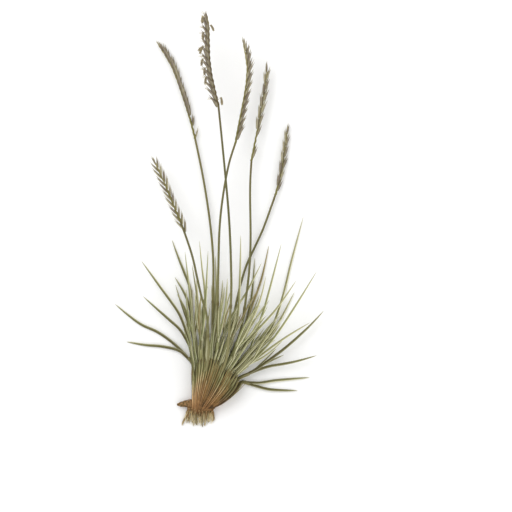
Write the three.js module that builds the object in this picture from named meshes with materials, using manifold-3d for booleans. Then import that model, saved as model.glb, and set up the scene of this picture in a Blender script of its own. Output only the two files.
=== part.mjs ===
// A bare-rooted tuft of matgrass, lifted from the ground and laid on a table.
// Units are millimetres. +Y runs from the roots to the flower spikes, +X is to the right and
// +Z is up from the table. The origin is on the table, under the thick foot of the tuft.

import * as THREE from 'three';
import { mergeVertices } from 'three/addons/utils/BufferGeometryUtils.js';
import Module from 'manifold-3d';

const wasm = await Module();
wasm.setup();

// The fan of brown sheaths that all the shoots stand in
const FAN = {
  centre: [-3, -12],
  leftAngle: 105,
  rightAngle: 30,
  mouthRadius: 31,
  mouthGrowth: 2,
  rootLeft: -10,
  rootRight: 3,
  rootY: -12.5,
  bow: 4.5,
  rootThickness: 9,
  mouthThickness: 16.2,
  edgeShare: 0.35,
  ribs: 22,
  ribDepth: 0.6,
  raggedness: 4.5,
  edgeBulge: 0.012,
  padCentre: 0.45,
  padHalf: 0.2,
};

// Shoots stand in the fan in four rows, one above the other
const ROW_HEIGHT = [2.1, 5.5, 8.9, 12.3];
const FOOT_DEPTH = 0.76;
const CLEARANCE = 0.3;

// Edges shorter than this are closed up where pieces are joined
const FINEST_EDGE = 0.006;

// Leaf shoots: living sheath, then wiry blades that part at its top
const SHEATH_RADIUS = 1.25;
const SHEATH_TOP_RADIUS = 1.2;
const BLADE_RADIUS = 0.84;
const BLADE_TIP_RADIUS = 0.5;
const BLADE_SPREAD = 1.25;
const BLADE_FOOT_SHARE = 0.75;
const BLADE_STEP = 11.5;
const INNER_LENGTH = [14, 42];
const INNER_SPREAD = 17;

// Flower stems and their one-sided spikes
const CULM_RADIUS = 1;
const CULM_TOP_RADIUS = 0.8;
const CULM_JOINT_RADIUS = 1.2;
const CULM_STEP = 13;
const RACHIS_RADIUS = 0.7;
const RACHIS_TIP_RADIUS = 0.45;
const SPIKELET_LENGTH = 9.2;
const SPIKELET_RADIUS = 0.85;
const SPIKELET_SPACING = 3.9;
const SPIKELET_FIRST = 2;
const SPIKELET_LAST = 6.4;
const ANTHER_LENGTH = 3.8;
const ANTHER_RADIUS = 0.62;
const ANTHER_REACH = 3;

// Seeds of the draws for the leaves and for each spike
const TUFT_SEED = 4127;
const SPIKE_SEED = 60;

// What lies under a new shoot is kept as a height map of the table
const MAP = { left: -80, right: 100, front: -40, back: 285, cell: 1 };
const LAY_GAP = 0.4;
const CLIMB = 0.55;
const FALL = 0.4;

// Each shoot: row in the fan, angle in the fan, point where its blades part, how steeply they
// rise, how many shorter blades fill it, and the plan of each long blade from there to its tip
const SHOOTS = [
  {
    row: 0, angle: 102, part: [-12.8, 23], rise: -0.04, inner: 0,
    blades: [
      [[-17.4, 27], [-26, 30.2], [-42, 31.8], [-55.3, 34]],
      [[-22.4, 32.5], [-34.3, 41], [-47.6, 47.4], [-63.4, 60]],
    ],
  },
  {
    row: 0, angle: 90.5, part: [-9.5, 38], rise: -0.01, inner: 3,
    blades: [
      [[-11.2, 70], [-17.5, 87.1], [-23.5, 103.6]],
      [[-10.5, 53.5], [-14.7, 66.5], [-21.2, 77.7]],
    ],
  },
  {
    row: 0, angle: 79, part: [4, 40], rise: 0, inner: 5,
    blades: [[[6.8, 65], [6.3, 91.9]]],
  },
  {
    row: 0, angle: 56, part: [21, 34], rise: -0.01, inner: 4,
    blades: [
      [[25.9, 42.5], [31.5, 58.3], [38.5, 78.2], [43.1, 99.1]],
      [[26.6, 44.6], [31.5, 65.2], [33.6, 90.6]],
    ],
  },
  {
    row: 0, angle: 44.5, part: [31, 25], rise: -0.015, inner: 3,
    blades: [
      [[44.8, 42.5], [53.2, 65.2], [59.5, 90.6], [67.2, 119.4]],
      [[41, 34], [50.4, 47.3], [60.5, 66.8]],
    ],
  },
  {
    row: 0, angle: 33, part: [30, 4.6], rise: -0.04, inner: 0,
    blades: [
      [[47.6, 6.9], [70, 8.9]],
      [[44.1, 0.8], [61.6, 0]],
    ],
  },
  {
    row: 1, angle: 96.3, part: [-10.6, 29], rise: 0.04, inner: 0,
    blades: [
      [[-18.2, 42.4], [-29.4, 52.6], [-43.4, 65.2]],
      [[-14, 41.2], [-19.6, 54.9], [-29.4, 68.6], [-44.8, 89.9]],
      [[-14, 54.2], [-19.9, 66.5]],
    ],
  },
  {
    row: 1, angle: 73.3, part: [11.5, 38], rise: 0.12, inner: 5,
    blades: [[[20.3, 56.6], [28.7, 70], [37.5, 87.3]]],
  },
  {
    row: 1, angle: 50.3, part: [28, 24], rise: 0.1, inner: 5,
    blades: [[[38.5, 51.5], [44.8, 73.4], [51.8, 100.5]]],
  },
  {
    row: 1, angle: 38.8, part: [30, 12], rise: 0.03, inner: 3,
    blades: [
      [[39.2, 18.2], [53.2, 28.4], [69.3, 42.5], [80.5, 54.2]],
      [[42, 16.6], [60.2, 19.9], [74.9, 24]],
    ],
  },
  {
    row: 2, angle: 96, part: [-8.4, 36], rise: 0.28, inner: 5,
    blades: [
      [[-11.2, 66], [-14, 90.6]],
      [[-5.5, 56.3], [-8.8, 81.6]],
    ],
  },
  {
    row: 2, angle: 86.5, part: [-3, 38], rise: 0.36, inner: 5,
    blades: [
      [[-0.6, 65.2], [-2.1, 78.9], [-3.9, 96.7]],
      [[-0.3, 56], [-0.7, 70]],
    ],
  },
  {
    row: 2, angle: 67.5, part: [17, 36], rise: 0.36, inner: 5,
    blades: [[[21.7, 50], [23.5, 78.9], [24, 106.3]]],
  },
  {
    row: 2, angle: 57, part: [22, 26], rise: 0.32, inner: 5,
    blades: [[[34.3, 41], [49, 57.5], [61.3, 75.1]]],
  },
  {
    row: 2, angle: 46, part: [29, 18], rise: 0.24, inner: 4,
    blades: [
      [[39.2, 28], [49, 39.6], [62.3, 59.7], [75.6, 81.3]],
      [[36, 23.4], [54.6, 37], [70.3, 46.6]],
    ],
  },
  {
    row: 3, angle: 91, part: [-3.5, 32], rise: 0.6, inner: 5,
    blades: [[[-0.5, 60], [1.1, 89.2]]],
  },
  {
    row: 3, angle: 73, part: [8, 34], rise: 0.56, inner: 5,
    blades: [
      [[9.6, 50], [10.5, 63.1]],
      [[12.2, 51.5], [14, 64], [14.7, 76.4]],
    ],
  },
  {
    row: 3, angle: 52.5, part: [19, 26], rise: 0.54, inner: 6,
    blades: [[[29, 44], [37, 62], [41, 78]]],
  },
];

// Each flower stem: its place in the fan, the plan of its stem up to the spike, the plan of the
// spike, the heights that it passes through, and how the spikelets stand on the spike
const CULMS = [
  {
    row: 1, angle: 84.8, heights: [5.5, 5, 2.6, 2.6],
    stem: [[3.5, 28], [4.9, 61.7], [5.3, 89.2], [2.8, 116.6], [-2.1, 147.5], [-8.1, 177]],
    spike: [[-12, 191.7], [-21.1, 219.2], [-26.8, 231.5], [-35.2, 244]],
    sides: [[1, 11], [1, 21]], anthers: 0,
  },
  {
    row: 3, angle: 62.5, heights: [12.3, 20, 23, 26],
    stem: [[14.7, 26], [16.8, 54.9], [17.5, 75.5], [16.1, 116.6], [12.6, 157.8], [8.5, 198.9]],
    spike: [[2.7, 226.4], [1.9, 253.8], [0.2, 264]],
    sides: [[-1, 15], [-1, 29]], anthers: 9,
  },
  {
    row: 2, angle: 77, heights: [8.9, 14, 15, 17],
    stem: [[5, 30], [7, 48], [7.7, 82.3], [9.5, 120], [14.7, 153.7], [20.3, 172.9]],
    spike: [[23.3, 188.7], [27.2, 209.2], [28.6, 226.4], [24.9, 246]],
    sides: [[1, 12], [1, 23]], anthers: 0,
  },
  {
    row: 1, angle: 61.8, heights: [5.5, 8, 7, 8],
    stem: [[16.5, 24], [23.1, 38], [29, 75.5], [30.8, 102.9], [30.5, 140.6], [31.5, 161.2]],
    spike: [[37.6, 192.1], [41.6, 216.1], [42.5, 228.5]],
    sides: [[1, 11], [-1, 11]], anthers: 0,
  },
  {
    row: 0, angle: 67.5, heights: [2.1, 1.2, 2.6, 2.6],
    stem: [[15.5, 34], [21.7, 65.2], [28, 87.8], [38.5, 110.4], [48.3, 137.2]],
    spike: [[52.7, 154.4], [56, 178.4], [57, 185.5]],
    sides: [[1, 12], [-1, 11]], anthers: 0,
  },
  {
    row: 3, angle: 82.5, heights: [12.3, 18, 17, 14],
    stem: [[1.5, 30], [0.7, 51.5], [-4.2, 70], [-9.8, 94.7], [-18.2, 118.7]],
    spike: [[-23.1, 130.3], [-28.7, 144.1], [-35, 157.8], [-37.4, 163.4]],
    sides: [[1, 20], [-1, 18]], anthers: 0,
  },
];

// The creeping stem: plan points with height and radius, pointed end first
const RHIZOME = [
  [-20.6, -9.8, 2.6, 0.35],
  [-17.6, -9.4, 2.8, 1.4],
  [-13.6, -9, 3.1, 2.3],
  [-9, -10.6, 3.3, 2.5],
  [-3, -11.8, 3.4, 2.5],
  [2.4, -12.1, 3.3, 2.2],
  [5.6, -11, 3, 1.4],
];

// Cord roots and fine rootlets: plan from the creeping stem outwards, with the thickest radius
const ROOTS = [
  { plan: [[-12.6, -11], [-12.9, -16.5], [-15.6, -20.4], [-17.2, -24.4]], radius: 0.95 },
  { plan: [[-13, -17], [-12.4, -21.5]], radius: 0.5 },
  { plan: [[-8, -12], [-7.6, -17.5], [-6.8, -24.2]], radius: 1.15 },
  { plan: [[-5, -13], [-4.8, -18], [-4.6, -22.8]], radius: 0.8 },
  { plan: [[-2.6, -13.6], [-3.2, -19], [-2.8, -25.6]], radius: 0.7 },
  { plan: [[0.2, -13.6], [-0.4, -18.5], [-1.4, -24.6]], radius: 0.85 },
  { plan: [[4, -13.4], [4.9, -17.4], [4.5, -21.6]], radius: 0.9 },
  { plan: [[-10.4, -12], [-10.6, -17], [-10.2, -22.6]], radius: 0.45 },
  { plan: [[-9.4, -12], [-9.6, -18], [-9, -25]], radius: 0.45 },
  { plan: [[2, -13.4], [2.2, -18], [1.6, -22.4]], radius: 0.45 },
];
const ROOT_SIDES = 5;

const COLOURS = {
  sheath: { color: '#8a6239', roughness: 0.78, metalness: 0 },
  shoot: { color: '#6f7040', roughness: 0.62, metalness: 0 },
  culm: { color: '#77733f', roughness: 0.58, metalness: 0 },
  spike: { color: '#766a5c', roughness: 0.72, metalness: 0 },
  rhizome: { color: '#8b5e38', roughness: 0.75, metalness: 0 },
};

// Seeded draws, so that the tuft grows the same way each time
function seeded(seed) {
  let state = seed;
  return () => {
    state = (state * 16807) % 2147483647;
    return state / 2147483647;
  };
}

const radians = (degrees) => degrees * Math.PI / 180;
const mix = (a, b, share) => a + (b - a) * share;
const plan = ([x, y]) => new THREE.Vector2(x, y);

// A line through plan points, cut into equal steps
function evenSteps(points, steps) {
  const curve = new THREE.SplineCurve(points.map(plan));
  const fineCount = 16 * (points.length - 1);
  const fine = [];
  for (let i = 0; i <= fineCount; i += 1) fine.push(curve.getPoint(i / fineCount));
  const reach = [0];
  for (let i = 1; i <= fineCount; i += 1) {
    reach.push(reach[i - 1] + fine[i].distanceTo(fine[i - 1]));
  }
  const total = reach[fineCount];
  const line = [];
  let span = 1;
  for (let i = 0; i <= steps; i += 1) {
    const wanted = total * i / steps;
    while (span < fineCount && reach[span] < wanted) span += 1;
    const share = (wanted - reach[span - 1]) / (reach[span] - reach[span - 1]);
    line.push({
      x: mix(fine[span - 1].x, fine[span].x, share),
      y: mix(fine[span - 1].y, fine[span].y, share),
      z: 0,
      along: wanted,
    });
  }
  return line;
}

function planLength(points) {
  return new THREE.SplineCurve(points.map(plan)).getLength();
}

// Fan lines: across = 0 at the left edge and 1 at the right, along = 0 at the root, 1 at the mouth
function fanPoint(across, along, reach = 0) {
  const angle = radians(mix(FAN.leftAngle, FAN.rightAngle, across));
  const radius = FAN.mouthRadius + FAN.mouthGrowth * across + reach;
  const root = new THREE.Vector2(mix(FAN.rootLeft, FAN.rootRight, across), FAN.rootY);
  const mouth = new THREE.Vector2(
    FAN.centre[0] + radius * Math.cos(angle),
    FAN.centre[1] + radius * Math.sin(angle),
  );
  const chord = mouth.clone().sub(root).normalize();
  const bend = root.clone().add(mouth).multiplyScalar(0.5);
  bend.x += chord.y * FAN.bow * across * across;
  bend.y -= chord.x * FAN.bow * across * across;
  return new THREE.QuadraticBezierCurve(root, bend, mouth).getPoint(along);
}

const fanShare = (angle) => (FAN.leftAngle - angle) / (FAN.leftAngle - FAN.rightAngle);

function fanThickness(across, along) {
  const dome = Math.sqrt(1 - Math.abs(2 * across - 1) ** 3);
  const share = FAN.edgeShare + (1 - FAN.edgeShare) * dome;
  return share * mix(FAN.rootThickness, FAN.mouthThickness, Math.sqrt(along));
}

// Height map of all that has been laid down so far
const columns = Math.round((MAP.right - MAP.left) / MAP.cell);
const rows = Math.round((MAP.back - MAP.front) / MAP.cell);
const heap = new Float64Array(columns * rows);

// Calls visit(cell, share) for every cell under a strip between two points of a line
function underStrip(from, to, halfWidth, visit) {
  const length = Math.hypot(to.x - from.x, to.y - from.y);
  const steps = Math.max(1, Math.ceil(length / 0.6));
  const sideX = (to.y - from.y) / length;
  const sideY = (from.x - to.x) / length;
  const lanes = Math.max(1, Math.ceil(halfWidth / 0.5));
  for (let i = 0; i <= steps; i += 1) {
    const share = i / steps;
    for (let lane = -lanes; lane <= lanes; lane += 1) {
      const offset = halfWidth * lane / lanes;
      const x = mix(from.x, to.x, share) + sideX * offset;
      const y = mix(from.y, to.y, share) + sideY * offset;
      const column = Math.floor((x - MAP.left) / MAP.cell);
      const row = Math.floor((y - MAP.front) / MAP.cell);
      visit(row * columns + column, share);
    }
  }
}

// Raises a line where it would pass through what lies below, its first `held` points excepted
function layOver(line, size, held) {
  for (let i = 1; i < line.length; i += 1) {
    const from = line[i - 1];
    const to = line[i];
    let top = 0;
    underStrip(from, to, size.halfWidth + LAY_GAP, (cell) => {
      top = Math.max(top, heap[cell]);
    });
    if (top === 0) continue;
    const needed = top + LAY_GAP + size.below;
    if (i - 1 >= held) from.z = Math.max(from.z, needed);
    if (i >= held) to.z = Math.max(to.z, needed);
  }
  for (let i = line.length - 2; i >= held; i -= 1) {
    const step = line[i + 1].along - line[i].along;
    line[i].z = Math.max(line[i].z, line[i + 1].z - CLIMB * step);
  }
  for (let i = Math.max(1, held); i < line.length; i += 1) {
    const step = line[i].along - line[i - 1].along;
    line[i].z = Math.max(line[i].z, line[i - 1].z - FALL * step);
  }
}

function press(line, size) {
  for (let i = 1; i < line.length; i += 1) {
    const from = line[i - 1];
    const to = line[i];
    underStrip(from, to, size.halfWidth, (cell, share) => {
      heap[cell] = Math.max(heap[cell], mix(from.z, to.z, share) + size.above);
    });
  }
}

// A tube bent along a line, with a radius at each point; a last radius of 0 makes a point
function tube(line, radii, sides, width = 1) {
  const steps = line.length - 1;
  const tip = radii[steps] > 0 ? 1 : 0;
  const geometry = new THREE.CylinderGeometry(tip, 1, steps, sides, steps);
  const position = geometry.attributes.position;
  const up = new THREE.Vector3(0, 0, 1);
  const frames = line.map((point, i) => {
    const before = line[Math.max(0, i - 1)];
    const after = line[Math.min(steps, i + 1)];
    const forward = new THREE.Vector3(after.x - before.x, after.y - before.y, after.z - before.z);
    forward.normalize();
    const side = new THREE.Vector3().crossVectors(forward, up).normalize();
    const lift = new THREE.Vector3().crossVectors(side, forward);
    return { side, lift };
  });
  for (let i = 0; i < position.count; i += 1) {
    const ring = Math.round(position.getY(i) + steps / 2);
    const spoke = new THREE.Vector2(position.getX(i), position.getZ(i));
    if (spoke.lengthSq() > 1e-6) spoke.normalize();
    const { side, lift } = frames[ring];
    const point = new THREE.Vector3(line[ring].x, line[ring].y, line[ring].z);
    point.addScaledVector(side, spoke.x * radii[ring] * width);
    point.addScaledVector(lift, spoke.y * radii[ring]);
    position.setXYZ(i, point.x, point.y, point.z);
  }
  return solid(geometry);
}

function solid(geometry) {
  geometry.deleteAttribute('normal');
  geometry.deleteAttribute('uv');
  const merged = mergeVertices(geometry, 1e-5);
  return new wasm.Manifold(new wasm.Mesh({
    numProp: 3,
    vertProperties: new Float32Array(merged.attributes.position.array),
    triVerts: new Uint32Array(merged.index.array),
    tolerance: FINEST_EDGE,
  }));
}

// The outer skin of a solid, without small scraps and without hollows sealed inside it
function largest(whole) {
  const pieces = whole.decompose();
  return pieces.reduce((best, piece) => (piece.volume() > best.volume() ? piece : best));
}

const fuse = (solids) => largest(solids.reduce((whole, piece) => whole.add(piece)));

function mesh(name, whole, colour) {
  const { numProp, vertProperties, triVerts } = whole.getMesh();
  const geometry = new THREE.BufferGeometry();
  const interleaved = new THREE.InterleavedBuffer(vertProperties, numProp);
  geometry.setAttribute('position', new THREE.InterleavedBufferAttribute(interleaved, 3, 0));
  geometry.setIndex(new THREE.BufferAttribute(triVerts, 1));
  const named = new THREE.Mesh(geometry, new THREE.MeshStandardMaterial(COLOURS[colour]));
  named.name = name;
  return named;
}

// The first stretch of a shoot or stem: a foot inside the fan, then out at its mouth
function footPoints(angle) {
  const across = fanShare(angle);
  const foot = fanPoint(across, FOOT_DEPTH);
  const mouth = fanPoint(across, 1);
  return [[foot.x, foot.y], [mouth.x, mouth.y]];
}

// Living sheath of a shoot, from its foot to where the blades part
function sheathLine(shoot) {
  const points = [...footPoints(shoot.angle), shoot.part];
  const line = evenSteps(points, 5);
  const height = ROW_HEIGHT[shoot.row];
  for (const point of line) {
    const beyond = Math.max(0, point.along - line[2].along);
    point.z = height + Math.max(0, shoot.rise) * 0.6 * beyond;
  }
  layOver(line, { halfWidth: SHEATH_RADIUS, below: SHEATH_RADIUS }, 3);
  return line;
}

// Shorter blades that fill a shoot fan out from it at drawn angles and lengths
function innerBlades(shoot, draw) {
  const [partX, partY] = shoot.part;
  const heading = Math.atan2(partY - FAN.centre[1], partX - FAN.centre[0]);
  const blades = [];
  for (let i = 0; i < shoot.inner; i += 1) {
    const spread = shoot.inner > 1 ? 2 * i / (shoot.inner - 1) - 1 : 0.3;
    const turn = radians(INNER_SPREAD * (spread + 0.7 * (draw() - 0.5)));
    const length = mix(INNER_LENGTH[0], INNER_LENGTH[1], draw());
    const bend = radians(14 * (draw() - 0.5));
    const middle = [
      partX + 0.5 * length * Math.cos(heading - turn - bend),
      partY + 0.5 * length * Math.sin(heading - turn - bend),
    ];
    const tip = [
      partX + length * Math.cos(heading - turn),
      partY + length * Math.sin(heading - turn),
    ];
    blades.push([middle, tip]);
  }
  return blades;
}

function bladeLine(shoot, sheath, points) {
  const start = sheath[3];
  const end = sheath[5];
  const whole = [[start.x, start.y], [end.x, end.y], ...points];
  const steps = Math.max(4, Math.round(planLength(whole) / BLADE_STEP));
  const line = evenSteps(whole, steps);
  const inside = end.along - start.along;
  const free = line[steps].along - inside;
  for (const point of line) {
    const past = point.along - inside;
    if (past <= 0) {
      point.z = mix(start.z, end.z, point.along / inside);
    } else {
      const climb = shoot.rise * past * (1 - 0.45 * past / free);
      point.z = Math.max(BLADE_RADIUS / 2, end.z + climb - 0.02 * past);
    }
  }
  layOver(line, { halfWidth: BLADE_RADIUS, below: BLADE_RADIUS / 2 }, 1);
  return line;
}

function bladeSolid(line) {
  const steps = line.length - 1;
  const radii = line.map((point, i) => {
    if (i === steps) return 0;
    if (i === 0) return BLADE_RADIUS * BLADE_FOOT_SHARE;
    return mix(BLADE_RADIUS, BLADE_TIP_RADIUS, (i / steps) ** 3);
  });
  return tube(line, radii, 3, BLADE_SPREAD);
}

function sheathSolid(line, grown) {
  const radii = line.map((point, i) => mix(SHEATH_RADIUS, SHEATH_TOP_RADIUS, i / 5) + grown);
  return tube(line, radii, 5);
}

function growShoot(shoot, draw) {
  const sheath = sheathLine(shoot);
  const lines = [...shoot.blades, ...innerBlades(shoot, draw)].map(
    (points) => bladeLine(shoot, sheath, points),
  );
  press(sheath, { halfWidth: SHEATH_RADIUS, above: SHEATH_RADIUS });
  for (const line of lines) press(line, { halfWidth: BLADE_RADIUS, above: BLADE_RADIUS });
  return {
    body: fuse([sheathSolid(sheath, 0), ...lines.map(bladeSolid)]),
    pocket: sheathSolid(pocketLine(sheath), CLEARANCE),
  };
}

// The pocket of a foot starts a little deeper than the foot itself
function pocketLine(line) {
  const [first, second] = line;
  const run = second.along - first.along;
  const back = CLEARANCE / run;
  const deeper = {
    x: first.x - (second.x - first.x) * back,
    y: first.y - (second.y - first.y) * back,
    z: first.z,
    along: 0,
  };
  return [deeper, ...line.slice(1)];
}

function heightAlong(heights, share) {
  const place = share * (heights.length - 1);
  const step = Math.min(heights.length - 2, Math.floor(place));
  const smooth = (1 - Math.cos(Math.PI * (place - step))) / 2;
  return mix(heights[step], heights[step + 1], smooth);
}

// The whole line of a flower stem with its spike, and where the spike starts on it
function culmLine(culm) {
  const stemPoints = [...footPoints(culm.angle), ...culm.stem];
  const stemSteps = Math.round(planLength(stemPoints) / CULM_STEP);
  const stem = evenSteps(stemPoints, stemSteps);
  const spikePoints = [culm.stem[culm.stem.length - 1], ...culm.spike];
  const spikeSteps = Math.round(planLength(spikePoints) / (CULM_STEP * 0.8));
  const spike = evenSteps(spikePoints, spikeSteps);
  const stemLength = stem[stemSteps].along;
  const whole = stemLength + spike[spikeSteps].along;
  for (const point of spike) point.along += stemLength;
  for (const point of [...stem, ...spike]) {
    point.z = heightAlong(culm.heights, point.along / whole);
  }
  stem[0].z = ROW_HEIGHT[culm.row];
  layOver(stem, { halfWidth: CULM_RADIUS, below: CULM_RADIUS }, 1);
  layOver(spike, { halfWidth: 4, below: 2.3 }, 0);
  const joined = Math.max(stem[stemSteps].z, spike[0].z);
  stem[stemSteps].z = joined;
  spike[0].z = joined;
  return { stem, spike };
}

function culmSolid(stem, grown) {
  const steps = stem.length - 1;
  const jointAt = Math.round(steps * 0.3);
  const radii = stem.map((point, i) => {
    const radius = i === jointAt ? CULM_JOINT_RADIUS : mix(CULM_RADIUS, CULM_TOP_RADIUS, i / steps);
    return radius + grown;
  });
  return tube(stem, radii, 5);
}

function pointAlong(line, distance) {
  let i = 1;
  while (i < line.length - 1 && line[i].along - line[0].along < distance) i += 1;
  const span = line[i].along - line[i - 1].along;
  const share = (distance - (line[i - 1].along - line[0].along)) / span;
  const from = line[i - 1];
  const to = line[i];
  const heading = Math.atan2(to.y - from.y, to.x - from.x);
  return {
    x: mix(from.x, to.x, share),
    y: mix(from.y, to.y, share),
    z: mix(from.z, to.z, share),
    climb: (to.z - from.z) / span,
    heading,
  };
}

// One spikelet: a narrow spindle that leans out from the stalk of the spike
function spikelet(foot, side, lean, lift, length) {
  const heading = foot.heading - side * radians(lean);
  const marks = [[0, 0.35], [0.3, 1], [0.62, 0.8], [1, 0]];
  const line = marks.map(([share]) => ({
    x: foot.x + length * share * Math.cos(heading),
    y: foot.y + length * share * Math.sin(heading),
    z: foot.z + length * share * (foot.climb + lift),
  }));
  return tube(line, marks.map(([, width]) => width * SPIKELET_RADIUS), 3, 0.9);
}

function spikeSolid(spike, culm, draw) {
  const length = spike[spike.length - 1].along - spike[0].along;
  const start = pointAlong(spike, CLEARANCE);
  const stalk = [{ ...start, along: spike[0].along + CLEARANCE }, ...spike.slice(1)];
  const steps = stalk.length - 1;
  const radii = stalk.map((point, i) => {
    if (i === steps) return 0;
    return mix(RACHIS_RADIUS, RACHIS_TIP_RADIUS, i / steps);
  });
  const pieces = [tube(stalk, radii, 5)];
  const count = Math.round((length - SPIKELET_LAST) / SPIKELET_SPACING);
  for (let i = 0; i < count; i += 1) {
    const foot = pointAlong(spike, mix(SPIKELET_FIRST, length - SPIKELET_LAST, i / (count - 1)));
    const [side, lean] = culm.sides[i % 2];
    const lift = (i % 2 ? 0.14 : -0.12) + 0.05 * (draw() - 0.5);
    const size = SPIKELET_LENGTH * mix(0.92, 1.08, draw());
    pieces.push(spikelet(foot, side, lean + 4 * (draw() - 0.5), lift, size));
  }
  for (let i = 0; i < culm.anthers; i += 1) {
    const foot = pointAlong(spike, mix(6, length - 6, i / (culm.anthers - 1)));
    const side = i % 4 === 1 ? -culm.sides[0][0] : culm.sides[0][0];
    pieces.push(anther(foot, side, 15 + 30 * draw()));
  }
  return fuse(pieces);
}

// A flowering spikelet hangs its anther out on a short stalk; it points back down the stem
function anther(foot, side, lean) {
  const out = foot.heading - side * radians(60);
  const droop = foot.heading - side * radians(180 - lean);
  const bend = {
    x: foot.x + ANTHER_REACH * Math.cos(out),
    y: foot.y + ANTHER_REACH * Math.sin(out),
    z: foot.z,
  };
  const hung = [0.45, 1].map((share) => ({
    x: bend.x + ANTHER_LENGTH * share * Math.cos(droop),
    y: bend.y + ANTHER_LENGTH * share * Math.sin(droop),
    z: bend.z,
  }));
  const half = ANTHER_RADIUS / 2;
  return tube([foot, bend, ...hung], [half, ANTHER_RADIUS, ANTHER_RADIUS, half], 4);
}

function growCulm(culm, number) {
  const { stem, spike } = culmLine(culm);
  press(stem, { halfWidth: CULM_RADIUS, above: CULM_RADIUS });
  press(spike, { halfWidth: 4.6, above: 2.4 });
  return {
    stem: culmSolid(stem, 0),
    pocket: culmSolid(pocketLine(stem), CLEARANCE),
    spike: spikeSolid(spike, culm, seeded(SPIKE_SEED + number)),
  };
}

// Old sheaths: a thick fan with a rib for each dead sheath and a ragged mouth. Its underside has
// ribs too, but for a flat pad in the middle that it rests on
function fanSolid(draw) {
  const across = FAN.ribs * 2;
  const along = 5;
  const deep = 2;
  const geometry = new THREE.BoxGeometry(across, along, deep, across, along, deep);
  const position = geometry.attributes.position;
  const ragged = [];
  for (let i = 0; i <= across * (deep + 1) + deep; i += 1) ragged.push(draw());
  for (let i = 0; i < position.count; i += 1) {
    const column = Math.round(position.getX(i) + across / 2);
    const ring = Math.round(position.getY(i) + along / 2);
    const level = Math.round(position.getZ(i) + deep / 2);
    const ridge = column % 2;
    const reach = ragged[column * (deep + 1) + level] * FAN.raggedness;
    const share = column / across;
    const bulge = Math.sin(Math.PI * level / deep) * FAN.edgeBulge * (2 * share - 1);
    const place = fanPoint(share + bulge, ring / along, ridge ? reach : 0);
    const top = fanThickness(share, ring / along) - (ridge ? 0 : FAN.ribDepth);
    const pad = Math.abs(share - FAN.padCentre) < FAN.padHalf;
    const bottom = pad || ridge ? 0 : FAN.ribDepth;
    position.setXYZ(i, place.x, place.y, mix(bottom, top, level / deep));
  }
  return solid(geometry);
}

function rhizomeSolid(grown) {
  const line = RHIZOME.map(([x, y, z]) => ({ x, y, z }));
  return tube(line, RHIZOME.map(([, , , radius]) => radius + grown), 8);
}

// A root leaves the creeping stem at its height and comes down to the table
function rootSolid(root) {
  const steps = root.plan.length > 2 ? 4 : 2;
  const line = evenSteps(root.plan, steps);
  const radii = line.map((point, i) => (i === steps ? 0 : root.radius * mix(1, 0.7, i / steps)));
  line.forEach((point, i) => {
    point.z = mix(3, root.radius, Math.min(1, 1.3 * i / steps));
  });
  return tube(line, radii, root.radius > 0.6 ? ROOT_SIDES : 4);
}

const draw = seeded(TUFT_SEED);
const tuft = new THREE.Group();
const pockets = [];
const ordered = [
  ...SHOOTS.map((shoot, i) => ({ shoot, row: shoot.row, number: i + 1 })),
  ...CULMS.map((culm, i) => ({ culm, row: culm.row + 0.5, number: i + 1 })),
].sort((a, b) => a.row - b.row);

for (const { shoot, culm, number } of ordered) {
  const label = String(number).padStart(2, '0');
  if (shoot) {
    const grown = growShoot(shoot, draw);
    pockets.push(grown.pocket);
    tuft.add(mesh(`shoot_${label}`, grown.body, 'shoot'));
  } else {
    const grown = growCulm(culm, number);
    pockets.push(grown.pocket);
    tuft.add(mesh(`stem_${label}`, grown.stem, 'culm'));
    tuft.add(mesh(`spike_${label}`, grown.spike, 'spike'));
  }
}

const fan = fanSolid(draw);
const hollowed = [...pockets, rhizomeSolid(CLEARANCE)].reduce(
  (whole, pocket) => whole.subtract(pocket),
  fan,
);
tuft.add(mesh('old_sheaths', largest(hollowed), 'sheath'));
tuft.add(mesh('rhizome', fuse([rhizomeSolid(0), ...ROOTS.map(rootSolid)]), 'rhizome'));

export default tuft;
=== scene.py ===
import math

import bpy
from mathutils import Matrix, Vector


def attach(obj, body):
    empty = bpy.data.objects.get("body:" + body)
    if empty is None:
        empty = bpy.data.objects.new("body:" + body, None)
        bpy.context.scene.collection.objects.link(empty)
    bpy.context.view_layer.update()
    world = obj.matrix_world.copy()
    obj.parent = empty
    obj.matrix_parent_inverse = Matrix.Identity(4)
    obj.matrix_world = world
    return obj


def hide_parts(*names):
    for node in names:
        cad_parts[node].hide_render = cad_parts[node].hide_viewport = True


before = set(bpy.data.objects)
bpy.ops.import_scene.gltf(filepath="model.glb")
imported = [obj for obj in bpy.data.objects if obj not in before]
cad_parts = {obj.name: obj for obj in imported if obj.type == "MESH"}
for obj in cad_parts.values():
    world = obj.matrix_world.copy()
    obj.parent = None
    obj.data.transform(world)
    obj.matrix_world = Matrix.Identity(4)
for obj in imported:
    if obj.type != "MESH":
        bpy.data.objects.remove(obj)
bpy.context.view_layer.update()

# A bare-rooted tuft of matgrass on a pale table, seen from straight above. Lengths are in
# millimetres until a mesh is made. +Y runs from the roots to the flower spikes.
MM = 0.001

# The fan of old sheaths, with the names and sizes of the part
FAN_CENTRE = (-3, -12)
FAN_LEFT, FAN_RIGHT = 105, 30
MOUTH_RADIUS, MOUTH_GROWTH = 31, 2
ROOT_LEFT, ROOT_RIGHT, ROOT_Y = -10, 3, -12.5
BOW = 4.5
ROOT_THICKNESS, MOUTH_THICKNESS, EDGE_SHARE = 9, 16.2, 0.35
ROW_HEIGHT = (2.1, 5.5, 8.9, 12.3)
FOOT_DEPTH = 0.76

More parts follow.
